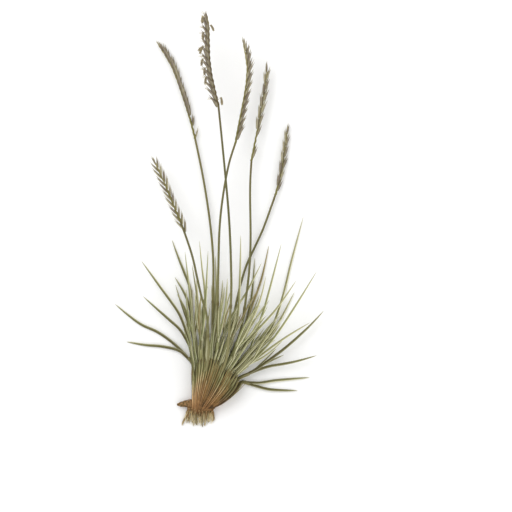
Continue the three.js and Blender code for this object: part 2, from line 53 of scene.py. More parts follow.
# Leaf shoots, flower stems and spikes
SHEATH_RADIUS, SHEATH_TOP_RADIUS = 1.25, 1.2
BLADE_RADIUS, BLADE_STEP = 0.84, 11.5
INNER_LENGTH, INNER_SPREAD = (14, 42), 17
CULM_RADIUS, CULM_TOP_RADIUS, CULM_JOINT_RADIUS, CULM_STEP = 1, 0.8, 1.2, 13
RACHIS_RADIUS, RACHIS_TIP_RADIUS = 0.7, 0.45
SPIKELET_LAST = 6.4
# Half width that a spike takes up, and how far it reaches down or up: as it is laid over what is
# below, and as the next ones are laid over it
SPIKE_LAID, SPIKE_PRESSED = (4, 2.3), (4.6, 2.4)
# Of each spike: where its spikelets start, how far apart they stand, how long they are, their
# widths in its two rows, and the stretch of stalk that bears none
SPIKELETS = {
    1: (8.2, 2.4, 9.6, (1.3, 1.5), (8.4, 14)), 2: (-1.5, 2.4, 10.1, (1.7, 0.95), (0, 0)),
    3: (2, 3.2, 10.6, (1.35, 1), (0, 0)), 4: (1, 4.1, 11.5, (1.05, 1), (5, 17)),
    5: (2, 4.1, 11.5, (1.05, 1), (0, 0)), 6: (-9, 2.7, 10.9, (0.82, 0.78), (0, 0)),
}
# One spikelet stands alone under a spike: the number of that spike, how far along it the
# spikelet stands, its lean in degrees, its length and its width
LONE_ON, LONE_AT, LONE_LEAN, LONE_LENGTH, LONE_WIDTH = 1, -1, 29, 9.5, 0.7
TUFT_SEED, SPIKE_SEED = 4127, 60
ANTHER_LENGTH = 3.8

# What lies under a new shoot is kept as a height map of the table, in cells of a millimetre. A
# line is laid over it with a gap, and climbs and falls no more steeply than this
MAP_LEFT, MAP_RIGHT, MAP_FRONT, MAP_BACK = -80, 100, -40, 285
CELL_STEP, LANE_STEP = 0.6, 0.5
LAY_GAP, CLIMB, FALL = 0.4, 0.55, 0.4

# Row in the fan, angle in it, point where the blades part, rise, shorter blades, long blades
SHOOTS = [
    (0, 102, (-12.8, 23), -0.04, 0, [
        [(-17.4, 27), (-26, 30.2), (-42, 31.8), (-55.3, 34)],
        [(-22.4, 32.5), (-34.3, 41), (-47.6, 47.4), (-63.4, 60)]]),
    (0, 90.5, (-9.5, 38), -0.01, 3, [
        [(-11.2, 70), (-17.5, 87.1), (-23.5, 103.6)],
        [(-10.5, 53.5), (-14.7, 66.5), (-21.2, 77.7)]]),
    (0, 79, (4, 40), 0, 5, [[(6.8, 65), (6.3, 91.9)]]),
    (0, 56, (21, 34), -0.01, 4, [
        [(25.9, 42.5), (31.5, 58.3), (38.5, 78.2), (43.1, 99.1)],
        [(26.6, 44.6), (31.5, 65.2), (33.6, 90.6)]]),
    (0, 44.5, (31, 25), -0.015, 3, [
        [(44.8, 42.5), (53.2, 65.2), (59.5, 90.6), (67.2, 119.4)],
        [(41, 34), (50.4, 47.3), (60.5, 66.8)]]),
    (0, 33, (30, 4.6), -0.04, 0, [
        [(47.6, 6.9), (70, 8.9)],
        [(44.1, 0.8), (61.6, 0)]]),
    (1, 96.3, (-10.6, 29), 0.04, 0, [
        [(-18.2, 42.4), (-29.4, 52.6), (-43.4, 65.2)],
        [(-14, 41.2), (-19.6, 54.9), (-29.4, 68.6), (-44.8, 89.9)],
        [(-14, 54.2), (-19.9, 66.5)]]),
    (1, 73.3, (11.5, 38), 0.12, 5, [[(20.3, 56.6), (28.7, 70), (37.5, 87.3)]]),
    (1, 50.3, (28, 24), 0.1, 5, [[(38.5, 51.5), (44.8, 73.4), (51.8, 100.5)]]),
    (1, 38.8, (30, 12), 0.03, 3, [
        [(39.2, 18.2), (53.2, 28.4), (69.3, 42.5), (80.5, 54.2)],
        [(42, 16.6), (60.2, 19.9), (74.9, 24)]]),
    (2, 96, (-8.4, 36), 0.28, 5, [
        [(-11.2, 66), (-14, 90.6)],
        [(-5.5, 56.3), (-8.8, 81.6)]]),
    (2, 86.5, (-3, 38), 0.36, 5, [
        [(-0.6, 65.2), (-2.1, 78.9), (-3.9, 96.7)],
        [(-0.3, 56), (-0.7, 70)]]),
    (2, 67.5, (17, 36), 0.36, 5, [[(21.7, 50), (23.5, 78.9), (24, 106.3)]]),
    (2, 57, (22, 26), 0.32, 5, [[(34.3, 41), (49, 57.5), (61.3, 75.1)]]),
    (2, 46, (29, 18), 0.24, 4, [
        [(39.2, 28), (49, 39.6), (62.3, 59.7), (75.6, 81.3)],
        [(36, 23.4), (54.6, 37), (70.3, 46.6)]]),
    (3, 91, (-3.5, 32), 0.6, 5, [[(-0.5, 60), (1.1, 89.2)]]),
    (3, 73, (8, 34), 0.56, 5, [
        [(9.6, 50), (10.5, 63.1)],
        [(12.2, 51.5), (14, 64), (14.7, 76.4)]]),
    (3, 52.5, (19, 26), 0.54, 6, [[(29, 44), (37, 62), (41, 78)]]),
]

# Share of the spike, side, lean in degrees and reach of each anther that hangs out
ANTHERS = [
    (0.05, 1, 8, 3.4), (0.29, -1, 34, 4.2), (0.38, -1, 22, 4.4), (0.47, -1, 30, 5.2),
    (0.58, -1, 40, 5), (0.6, -1, 64, 4.2), (0.75, -1, 18, 4.2), (0.84, 1, 30, 1.6),
    (0.93, -1, 24, 3.4),
]

# Row and angle in the fan, plan of the stem, plan of the spike, heights that they pass through,
# side and lean of the spikelets in the spike's two rows, and anthers that hang out
CULMS = [
    (1, 84.8, [(3.4, 28), (4.4, 61.7), (4.8, 89.2), (2.6, 116.6), (-2.1, 147.5), (-8.1, 177)],
     [(-12, 191.7), (-21.1, 219.2), (-26.8, 231.5), (-35.2, 244)],
     (5.5, 5, 2.6, 2.6), ((1, 18), (1, 9)), []),
    (3, 62.5, [(14.7, 26), (16.8, 54.9), (17.5, 75.5), (16.1, 116.6), (12.6, 157.8), (8.5, 198.9)],
     [(2.7, 226.4), (1.9, 253.8), (0.2, 264)],
     (12.3, 20, 23, 26), ((-1, 12), (-1, 31)), ANTHERS),
    (2, 77, [(5.4, 30), (7.7, 48), (8.3, 82.3), (9.7, 120), (14.7, 153.7), (20.3, 172.9)],
     [(23.3, 188.7), (27.2, 209.2), (28.6, 226.4), (24.9, 246)],
     (8.9, 14, 15, 17), ((1, 9), (1, 21)), []),
    (1, 61.8, [(16.5, 24), (23.1, 38), (29, 75.5), (30.8, 102.9), (30.5, 140.6), (31.5, 161.2)],
     [(37.6, 192.1), (41.6, 216.1), (42.5, 228.5)],
     (5.5, 8, 7, 8), ((1, 9), (-1, 9)), []),
    (0, 67.5, [(15.5, 34), (21.7, 65.2), (28, 87.8), (38.5, 110.4), (48.3, 137.2)],
     [(52.7, 154.4), (56, 178.4), (57, 185.5)],
     (2.1, 1.2, 2.6, 2.6), ((1, 9), (-1, 9)), []),
    (3, 82.5, [(1.5, 30), (0.7, 51.5), (-4.2, 70), (-9.8, 94.7), (-18.2, 118.7)],
     [(-23.1, 130.3), (-28.7, 144.1), (-35, 157.8), (-37.4, 163.4)],
     (12.3, 18, 17, 14), ((1, 18), (-1, 19)), []),
]

# Creeping stem: plan, height and radius, pointed end first. Roots: plan and thickest radius
RHIZOME = [
    (-20.6, -9.8, 2.6, 0.5), (-17.6, -9.5, 2.8, 1.4), (-13.8, -9, 3.1, 2.15),
    (-10.2, -9.2, 3.3, 2.8), (-3, -11.8, 3.4, 2.5), (2.4, -12.1, 3.3, 2.2), (5.6, -11, 3, 1.4),
]
ROOTS = [
    ([(-12.6, -11), (-12.9, -16.5), (-15.6, -20.4), (-17.2, -24.4)], 0.95),
    ([(-13, -17), (-12.4, -21.5)], 0.5),
    ([(-8, -12), (-7.6, -17.5), (-6.8, -24.2)], 1.15),
    ([(-5, -13), (-4.8, -18), (-4.6, -22.8)], 0.8),
    ([(-2.6, -13.6), (-3.2, -19), (-2.8, -25.6)], 0.7),
    ([(0.2, -13.6), (-0.4, -18.5), (-1.4, -24.6)], 0.85),
    ([(4, -13.4), (4.9, -17.4), (4.5, -21.6)], 0.9),
    ([(-10.4, -12), (-10.6, -17), (-10.2, -22.6)], 0.45),
    ([(-9.4, -12), (-9.6, -18), (-9, -25)], 0.45),
    ([(2, -13.4), (2.2, -18), (1.6, -22.4)], 0.45),
]


# Lines that shoots, stems and roots follow

def mix(a, b, share):
    return a + (b - a) * share


def seeded(state):
    """Draws between 0 and 1 that come out the same each time"""
    def draw():
        nonlocal state
        state = state * 16807 % 2147483647
        return state / 2147483647
    return draw


class Knot:
    """One point of a line, and how far along the line it lies"""

    def __init__(self, x, y, z=0.0, along=0.0):
        self.x, self.y, self.z, self.along = x, y, z, along

    def place(self):
        return Vector((self.x, self.y, self.z))


def spline_point(points, share):
    """A point of the smooth curve through some points of any number of coordinates"""
    last = len(points) - 1
    place = last * share
    i = min(int(place), last)
    w = place - i
    around = [points[min(max(k, 0), last)] for k in (i - 1, i, i + 1, i + 2)]
    found = []
    for before, start, end, after in zip(*around):
        v0, v1 = (end - before) / 2, (after - start) / 2
        found.append(
            (2 * start - 2 * end + v0 + v1) * w ** 3
            + (-3 * start + 3 * end - 2 * v0 - v1) * w ** 2
            + v0 * w
            + start
        )
    return found


def plan_length(points):
    curve = [spline_point(points, i / 200) for i in range(201)]
    return sum(math.dist(a, b) for a, b in zip(curve, curve[1:]))


def even_steps(points, steps):
    """A line through plan points, cut into equal steps"""
    count = 16 * (len(points) - 1)
    curve = [spline_point(points, i / count) for i in range(count + 1)]
    reach = [0.0]
    for a, b in zip(curve, curve[1:]):
        reach.append(reach[-1] + math.dist(a, b))
    line, span = [], 1
    for i in range(steps + 1):
        wanted = reach[-1] * i / steps
        while span < count and reach[span] < wanted:
            span += 1
        share = (wanted - reach[span - 1]) / (reach[span] - reach[span - 1])
        x, y = (mix(a, b, share) for a, b in zip(curve[span - 1], curve[span]))
        line.append(Knot(x, y, 0.0, wanted))
    return line


def fan_point(across, along, reach=0.0):
    """Plan of the fan: across runs from its left edge to its right, along from root to mouth"""
    angle = math.radians(mix(FAN_LEFT, FAN_RIGHT, across))
    radius = MOUTH_RADIUS + MOUTH_GROWTH * across + reach
    root = Vector((mix(ROOT_LEFT, ROOT_RIGHT, across), ROOT_Y))
    mouth = Vector((
        FAN_CENTRE[0] + radius * math.cos(angle),
        FAN_CENTRE[1] + radius * math.sin(angle),
    ))
    chord = (mouth - root).normalized()
    bend = (root + mouth) / 2 + Vector((chord.y, -chord.x)) * BOW * across * across
    near, far = root.lerp(bend, along), bend.lerp(mouth, along)
    return tuple(near.lerp(far, along))


def fan_share(angle):
    return (FAN_LEFT - angle) / (FAN_LEFT - FAN_RIGHT)


def fan_thickness(across, along):
    dome = math.sqrt(max(0.0, 1 - abs(2 * across - 1) ** 3))
    share = EDGE_SHARE + (1 - EDGE_SHARE) * dome
    return share * mix(ROOT_THICKNESS, MOUTH_THICKNESS, math.sqrt(max(0.0, along)))


COLUMNS = MAP_RIGHT - MAP_LEFT
heap = [0.0] * (COLUMNS * (MAP_BACK - MAP_FRONT))


def under_strip(start, end, half_width):
    """Every cell of the height map under a strip, with its share of the way along"""
    length = math.hypot(end.x - start.x, end.y - start.y)
    steps = max(1, math.ceil(length / CELL_STEP))
    side_x, side_y = (end.y - start.y) / length, (start.x - end.x) / length
    lanes = max(1, math.ceil(half_width / LANE_STEP))
    for i in range(steps + 1):
        share = i / steps
        for lane in range(-lanes, lanes + 1):
            offset = half_width * lane / lanes
            x = mix(start.x, end.x, share) + side_x * offset
            y = mix(start.y, end.y, share) + side_y * offset
            yield math.floor(y - MAP_FRONT) * COLUMNS + math.floor(x - MAP_LEFT), share


def lay_over(line, half_width, below, held):
    """Raises a line where it would pass through what lies below, but for its first points"""
    for i, (start, end) in enumerate(zip(line, line[1:])):
        top = max(heap[cell] for cell, _ in under_strip(start, end, half_width + LAY_GAP))
        if top == 0:
            continue
        needed = top + LAY_GAP + below
        if i >= held:
            start.z = max(start.z, needed)
        if i + 1 >= held:
            end.z = max(end.z, needed)
    for i in range(len(line) - 2, held - 1, -1):
        step = line[i + 1].along - line[i].along
        line[i].z = max(line[i].z, line[i + 1].z - CLIMB * step)
    for i in range(max(1, held), len(line)):
        step = line[i].along - line[i - 1].along
        line[i].z = max(line[i].z, line[i - 1].z - FALL * step)


def press(line, half_width, above):
    for start, end in zip(line, line[1:]):
        for cell, share in under_strip(start, end, half_width):
            heap[cell] = max(heap[cell], mix(start.z, end.z, share) + above)


def foot_points(angle):
    across = fan_share(angle)
    return [fan_point(across, FOOT_DEPTH), fan_point(across, 1)]


def sheath_line(row, angle, part, rise):
    line = even_steps([*foot_points(angle), part], 5)
    for knot in line:
        beyond = max(0, knot.along - line[2].along)
        knot.z = ROW_HEIGHT[row] + max(0, rise) * 0.6 * beyond
    lay_over(line, SHEATH_RADIUS, SHEATH_RADIUS, 3)
    return line


def inner_blades(part, count, draw):
    """Shorter blades that fill a shoot fan out from it at drawn angles and lengths"""
    heading = math.atan2(part[1] - FAN_CENTRE[1], part[0] - FAN_CENTRE[0])
    blades = []
    for i in range(count):
        spread = 2 * i / (count - 1) - 1 if count > 1 else 0.3
        turn = math.radians(INNER_SPREAD * (spread + 0.7 * (draw() - 0.5)))
        length = mix(*INNER_LENGTH, draw())
        bend = math.radians(14 * (draw() - 0.5))
        blades.append([
            (part[0] + share * length * math.cos(heading - turn - swing),
             part[1] + share * length * math.sin(heading - turn - swing))
            for share, swing in ((0.5, bend), (1, 0))
        ])
    return blades


def blade_line(sheath, rise, points):
    start, end = sheath[3], sheath[5]
    whole = [(start.x, start.y), (end.x, end.y), *points]
    steps = max(4, math.floor(plan_length(whole) / BLADE_STEP + 0.5))
    line = even_steps(whole, steps)
    inside = end.along - start.along
    free = line[-1].along - inside
    for knot in line:
        past = knot.along - inside
        if past <= 0:
            knot.z = mix(start.z, end.z, knot.along / inside)
        else:
            climb = rise * past * (1 - 0.45 * past / free)
            knot.z = max(BLADE_RADIUS / 2, end.z + climb - 0.02 * past)
    lay_over(line, BLADE_RADIUS, BLADE_RADIUS / 2, 1)
    return line


def height_along(heights, share):
    place = share * (len(heights) - 1)
    step = min(len(heights) - 2, math.floor(place))
    eased = (1 - math.cos(math.pi * (place - step))) / 2
    return mix(heights[step], heights[step + 1], eased)


def culm_lines(row, angle, stem_plan, spike_plan, heights):
    """The line of a flower stem and that of the spike on it"""
    plan = [*foot_points(angle), *stem_plan]
    stem = even_steps(plan, math.floor(plan_length(plan) / CULM_STEP + 0.5))
    plan = [stem_plan[-1], *spike_plan]
    spike = even_steps(plan, math.floor(plan_length(plan) / (CULM_STEP * 0.8) + 0.5))
    for knot in spike:
        knot.along += stem[-1].along
    for knot in stem + spike:
        knot.z = height_along(heights, knot.along / spike[-1].along)
    stem[0].z = ROW_HEIGHT[row]
    lay_over(stem, CULM_RADIUS, CULM_RADIUS, 1)
    lay_over(spike, *SPIKE_LAID, 0)
    stem[-1].z = spike[0].z = max(stem[-1].z, spike[0].z)
    return stem, spike


def on_line(line, distance):
    """Place, climb and heading at a distance along a line"""
    i = 1
    while i < len(line) - 1 and line[i].along - line[0].along < distance:
        i += 1
    start, end = line[i - 1], line[i]
    span = end.along - start.along
    share = (distance - (start.along - line[0].along)) / span
    place = start.place().lerp(end.place(), share)
    return place, (end.z - start.z) / span, math.atan2(end.y - start.y, end.x - start.x)


def grow_spikelets(spike, first, spacing, size, bare, sides, anthers, draw):
    """Where the spikelets and the hanging anthers of a spike stand. The last spikelet stands
    upright on the stalk, so that it forks with the one before it"""
    length = spike[-1].along - spike[0].along
    offset = 0.55 if sides[0][0] == sides[1][0] else 0.25
    count = math.floor((length - first - SPIKELET_LAST) / spacing + 1.5)
    spikelets, hung = [], []
    for i in range(count):
        distance = mix(first, length - SPIKELET_LAST, i / (count - 1))
        place, climb, heading = on_line(spike, distance)
        side, lean = sides[i % 2]
        lift = (0.14 if i % 2 else -0.12) + 0.05 * (draw() - 0.5)
        above = count - 1 - i
        grown_size = size * mix(0.92, 1.08, draw()) * min(1, 0.76 + 0.06 * above)
        splay = lean * (0.15 if above == 0 else 1)
        turn = heading - side * math.radians(splay + 4 * (draw() - 0.5))
        if not bare[0] < distance < bare[1]:
            foot = place + Vector((math.sin(heading), -math.cos(heading), 0)) * side * offset
            spikelets.append((foot, turn, climb + lift, grown_size, side, i))
    for share, side, lean, reach in anthers:
        place, _, heading = on_line(spike, length * share)
        hung.append((place, heading, side, lean, reach))
    return spikelets, hung


shoots, culms = {}, {}
draw = seeded(TUFT_SEED)
order = sorted(
    [(shoot[0], number, shoot, None) for number, shoot in enumerate(SHOOTS, 1)]
    + [(culm[0] + 0.5, number, None, culm) for number, culm in enumerate(CULMS, 1)],
    key=lambda entry: entry[0],
)
for _, number, shoot, culm in order:
    if shoot:
        row, angle, part, rise, inner, plans = shoot
        sheath = sheath_line(row, angle, part, rise)
        plans = plans + inner_blades(part, inner, draw)
        blades = [blade_line(sheath, rise, plan) for plan in plans]
        press(sheath, SHEATH_RADIUS, SHEATH_RADIUS)
        for line in blades:
            press(line, BLADE_RADIUS, BLADE_RADIUS)
        shoots[number] = (sheath, blades, len(shoot[5]))
    else:
        row, angle, stem_plan, spike_plan, heights, sides, anthers = culm
        stem, spike = culm_lines(row, angle, stem_plan, spike_plan, heights)
        press(stem, CULM_RADIUS, CULM_RADIUS)
        press(spike, *SPIKE_PRESSED)
        first, spacing, size, _, bare = SPIKELETS[number]
        spikelets, hung = grow_spikelets(
            spike, first, spacing, size, bare, sides, anthers, seeded(SPIKE_SEED + number)
        )
        if number == LONE_ON:
            place, climb, heading = on_line(spike, LONE_AT)
            turn = heading - math.radians(LONE_LEAN)
            spikelets.append((place, turn, climb, LONE_LENGTH, 1, -1))
        culms[number] = (stem, spike, spikelets, hung)


# Laying out nodes, for shapes and for finishes

class Wire:
    """One output of a node. Sums of wires and numbers add Math nodes"""

    def __init__(self, bench, socket):
        self.bench, self.socket = bench, socket

    def output(self, name):
        return Wire(self.bench, find_socket(self.socket.node.outputs, name))

    def __add__(self, other):
        return self.bench.maths("ADD", self, other)

    def __rsub__(self, other):
        return self.bench.maths("SUBTRACT", other, self)

    def __mul__(self, other):
        return self.bench.maths("MULTIPLY", self, other)

    __radd__ = __add__
    __rmul__ = __mul__


def find_socket(sockets, name):
    if isinstance(name, int):
        return sockets[name]
    return next(socket for socket in sockets if name in (socket.identifier, socket.name))


class Bench:
    """Lays out the nodes of one tree"""

    def __init__(self, tree):
        self.tree = tree

    def node(self, kind, settings=None, sockets=None, output=0):
        made = self.tree.nodes.new(kind)
        for name, value in (settings or {}).items():
            if name == "stops":
                set_stops(made.color_ramp.elements, value)
            else:
                setattr(made, name, value)
        for name, value in (sockets or {}).items():
            socket = find_socket(made.inputs, name)
            if isinstance(value, Wire):
                self.tree.links.new(value.socket, socket)
            else:
                socket.default_value = value
        return made.outputs and Wire(self, find_socket(made.outputs, output))

    def maths(self, operation, *values):
        return self.node("ShaderNodeMath", {"operation": operation}, dict(enumerate(values)))

    def vector(self, x, y, z):
        return self.node("ShaderNodeCombineXYZ", {}, {0: x, 1: y, 2: z})


def set_stops(stops, wanted):
    """Gives a ramp its stops, first and last included"""
    (first, first_colour), *between, (last, last_colour) = wanted
    stops[0].position, stops[0].color = first, colour(first_colour)
    stops[1].position, stops[1].color = last, colour(last_colour)
    for place, shade in between:
        stops.new(place).color = colour(shade)


def colour(shade):
    """Linear colour of a #rrggbb shade"""
    parts = [int(shade[i:i + 2], 16) / 255 for i in (1, 3, 5)]
    return (*[p / 12.92 if p <= 0.04045 else ((p + 0.055) / 1.055) ** 2.4 for p in parts], 1)


class ShapeBench(Bench):
    """Lays out a tree that makes shapes, with named inputs"""

    def __init__(self, name, **inputs):
        super().__init__(bpy.data.node_groups.new(name, "GeometryNodeTree"))
        for title, kind in inputs.items():
            self.tree.interface.new_socket(title, in_out="INPUT", socket_type="NodeSocket" + kind)
        self.tree.interface.new_socket("Shape", in_out="OUTPUT", socket_type="NodeSocketGeometry")
        self.entry = self.tree.nodes.new("NodeGroupInput")

    def given(self, title):
        return Wire(self, self.entry.outputs[title])

    def mark(self, name, kind="FLOAT"):
        return self.node("GeometryNodeInputNamedAttribute", {"data_type": kind}, {"Name": name})

    def keep(self, shape, name, value):
        return self.node(
            "GeometryNodeStoreNamedAttribute", {}, {"Geometry": shape, "Name": name, "Value": value}
        )

    def close(self, shape):
        """Ends the tree in real geometry with its finish"""
        shape = self.node("GeometryNodeRealizeInstances", {}, {"Geometry": shape})
        shape = self.node(
            "GeometryNodeSetMaterial", {}, {"Geometry": shape, "Material": self.given("Finish")}
        )
        self.node("NodeGroupOutput", {}, {"Shape": shape})
        return self.tree


def stalk_tree():
    """Sweeps a section along lines: a circle that can be flattened, dished and ribbed.
    A dish above 0 is hollow on top, as a rolled leaf is; one below 0 arches over"""
    bench = ShapeBench(
        "Stalks along lines", Lines="Geometry", Step="Float", Sides="Int", Flatness="Float",
        Dish="Float", Ribs="Float", RibDepth="Float", Finish="Material",
    )
    line = bench.node("GeometryNodeMeshToCurve", {}, {"Mesh": bench.given("Lines")})
    line = bench.node(
        "GeometryNodeCurveSplineType", {"spline_type": "CATMULL_ROM"}, {"Curve": line}
    )
    line = bench.node(
        "GeometryNodeResampleCurve", {"mode": "LENGTH"},
        {"Curve": line, "Length": bench.given("Step")},
    )
    line = bench.node("GeometryNodeSetCurveNormal", {"mode": "Z_UP"}, {"Curve": line})
    line = bench.node("GeometryNodeSetCurveTilt", {}, {"Curve": line, "Tilt": bench.mark("turn")})
    share = bench.node("GeometryNodeSplineParameter")
    line = bench.keep(line, "along", share)
    line = bench.keep(line, "run", share.output("Length"))

    section = bench.node(
        "GeometryNodeCurvePrimitiveCircle", {}, {"Resolution": bench.given("Sides"), "Radius": 1.0}
    )
    place = bench.node("ShaderNodeSeparateXYZ", {}, {0: bench.node("GeometryNodeInputPosition")})
    side, low = place, place.output("Y")
    section = bench.keep(section, "side", side)
    section = bench.keep(section, "rim", 0 - low)
    wave = bench.maths("COSINE", bench.maths("ARCTAN2", low, side) * bench.given("Ribs"))
    ridge = 1 + bench.given("RibDepth") * wave
    hollow = bench.given("Dish") * (1 - side * side)
    shaped = bench.vector(side * ridge, low * ridge * bench.given("Flatness") + hollow, 0.0)
    section = bench.node(
        "GeometryNodeSetPosition", {}, {"Geometry": section, "Position": shaped}
    )
    shape = bench.node("GeometryNodeCurveToMesh", {}, {
        "Curve": line, "Profile Curve": section, "Scale": bench.mark("thickness"),
        "Fill Caps": True,
    })
    return bench.close(bench.node("GeometryNodeSetShadeSmooth", {}, {"Geometry": shape}))


def placing_tree():
    """Stands a copy of one piece on every point, turned and sized as the point says"""
    bench = ShapeBench("Pieces on points", Points="Geometry", Piece="Object", Finish="Material")
    piece = bench.node(
        "GeometryNodeObjectInfo", {}, {"Object": bench.given("Piece")}, output="Geometry"
    )
    turning = bench.node(
        "FunctionNodeEulerToRotation", {}, {"Euler": bench.mark("turning", "FLOAT_VECTOR")}
    )
    return bench.close(bench.node("GeometryNodeInstanceOnPoints", {}, {
        "Points": bench.given("Points"), "Instance": piece, "Rotation": turning,
        "Scale": bench.mark("size", "FLOAT_VECTOR"),
    }))


class Finish(Bench):
    """A material, from the marks that its piece carries"""

    def __init__(self, name, **constants):
        self.material = bpy.data.materials.new(name)
        self.material.use_nodes = True
        super().__init__(self.material.node_tree)
        self.shader = self.tree.nodes["Principled BSDF"]
        for socket, value in constants.items():
            self.shader.inputs[socket.replace("_", " ")].default_value = value

    def marks(self, *names):
        return [
            self.node("ShaderNodeAttribute", {"attribute_name": name}, output="Fac")
            for name in names
        ]

    def place(self):
        return self.node("ShaderNodeTexCoord", output="Object")

    def noise(self, place, scale, detail=3.0, roughness=0.55):
        return self.node("ShaderNodeTexNoise", {}, {
            "Vector": place, "Scale": scale, "Detail": detail, "Roughness": roughness,
        })

    def streaks(self, fineness, length):
        """Noise drawn out along a stalk. Length is that of a streak, in metres"""
        side, rim, run, tone = self.marks("side", "rim", "run", "tone")
        around = self.vector(side * fineness, rim * fineness, run * (1 / length))
        shifted = self.node("ShaderNodeVectorMath", {"operation": "ADD"}, {
            0: around, 1: self.vector(tone * 37, tone * 11, 0.0),
        })
        return self.noise(shifted, 1.0, 4.0)

    def band(self, value, start, end):
        """0 up to start, 1 from end on, and smooth between them"""
        return self.node("ShaderNodeMapRange", {"interpolation_type": "SMOOTHSTEP"}, {
            "Value": value, "From Min": start, "From Max": end,
        })

    def ramp(self, value, *stops):
        return self.node("ShaderNodeValToRGB", {"stops": stops}, {"Fac": value})

    def blend(self, factor, under, over):
        under, over = (colour(x) if isinstance(x, str) else x for x in (under, over))
        return self.node("ShaderNodeMix", {"data_type": "RGBA"}, {
            "Factor_Float": factor, "A_Color": under, "B_Color": over,
        }, output="Result_Color")

    def tint(self, shade, *layers):
        """Lays colours over a shade. A layer is a colour, its strength, and the values that it
        follows, each with the start and end of its band"""
        for over, strength, *bands in layers:
            for value, start, end in bands:
                strength = strength * self.band(value, start, end)
            shade = self.blend(strength, shade, over)
        return shade

    def feed(self, **sockets):
        for socket, wire in sockets.items():
            self.tree.links.new(wire.socket, self.shader.inputs[socket.replace("_", " ")])

    def bump(self, height, depth):
        """Relief of a depth in metres"""
        return self.node("ShaderNodeBump", {}, {"Height": height, "Distance": depth})

    def close(self, shade, roughness, height, depth):
        """Ends the finish in its colour, its roughness and its relief"""
        self.feed(Base_Color=shade, Roughness=roughness, Normal=self.bump(height, depth))
        return self.material


# Finishes

def leaf_finish():
    """Olive bristle leaf: brown in its sheath, pale sage at its tip, with a painted highlight along
    one edge, painted shade along the other edge and painted shade in the groove on top
    """
    leaf = Finish("bristle_leaf", Specular_IOR_Level=0.18)
    along, side, rim, tone = leaf.marks("along", "side", "rim", "tone")
    fibres = leaf.streaks(2.2, 0.012)
    olive = leaf.ramp(
        along, (0, "#574a26"), (0.15, "#4f4624"), (0.4, "#5c5530"), (0.65, "#6d6a41"),
        (0.85, "#838157"), (1, "#aaa67c"),
    )
    green = leaf.ramp(
        along, (0.05, "#78754a"), (0.28, "#848359"), (0.5, "#a09f70"), (0.78, "#b8b588"),
        (1, "#cdc9a2"),
    )
    brown = leaf.ramp(along, (0, "#5f5028"), (0.4, "#7a683c"), (0.8, "#978556"), (1, "#b7a678"))
    hue = leaf.noise(leaf.vector(tone * 57, 0.0, 0.0), 1.0)
    shade = leaf.tint(
        leaf.blend(leaf.band(tone, 0.3, 0.65), olive, green),
        ("#84955d", 0.35, (hue, 0.48, 0.6), (tone, 0.3, 0.4)),
        (brown, 1.0, (tone, 0.14, 0.08)),
        ("#a3a376", 0.45, (fibres, 0.45, 0.75)),
        ("#45401f", 0.5, (fibres, 0.45, 0.2)),
        # Painted highlight along one edge of each blade, and painted shade along the other edge
        ("#e2dfba", 0.35 + 0.65 * leaf.band(tone, 0.3, 0.45), (side, 0.28, 0.8)),
        ("#5f5a38", 0.6, (side, -0.35, -0.9)),
        # Painted shade in the groove along the top of each blade
        ("#3f3d1f", 0.5, (leaf.maths("ABSOLUTE", side), 0.34, 0.08), (rim, 0.2, 0.7)),
    )
    return leaf.close(shade, 0.62 - 0.22 * leaf.band(fibres, 0.3, 0.8), fibres, 0.00012)


def living_sheath_finish():
    """Sheath round the leaf bases: brown where it leaves the fan, green higher up, with a painted
    highlight along one side and painted shade along the other
    """
    sheath = Finish("living_sheath", Specular_IOR_Level=0.15)
    along, side, tone = sheath.marks("along", "side", "tone")
    fibres = sheath.streaks(3.4, 0.01)
    olive = sheath.ramp(
        along, (0, "#746b46"), (0.4, "#7a764b"), (0.62, "#888659"), (0.85, "#99986b"),
        (1, "#a9a87c"),
    )
    shade = sheath.tint(
        olive,
        ("#77804e", 0.4, (tone, 0.5, 0.75)),
        ("#645c38", 0.7, (tone, 0.42, 0.34)),
        ("#bab288", 0.6, (fibres, 0.5, 0.72)),
        ("#40361b", 0.6, (fibres, 0.42, 0.2)),
        # Painted highlight along one side of the sheath, and painted shade along the other
        ("#c0b58c", 0.6, (side, 0.6, 0.95)),
        ("#4c4426", 0.65, (side, -0.5, -0.95)),
    )
    return sheath.close(shade, 0.66 - 0.2 * fibres, fibres, 0.00018)


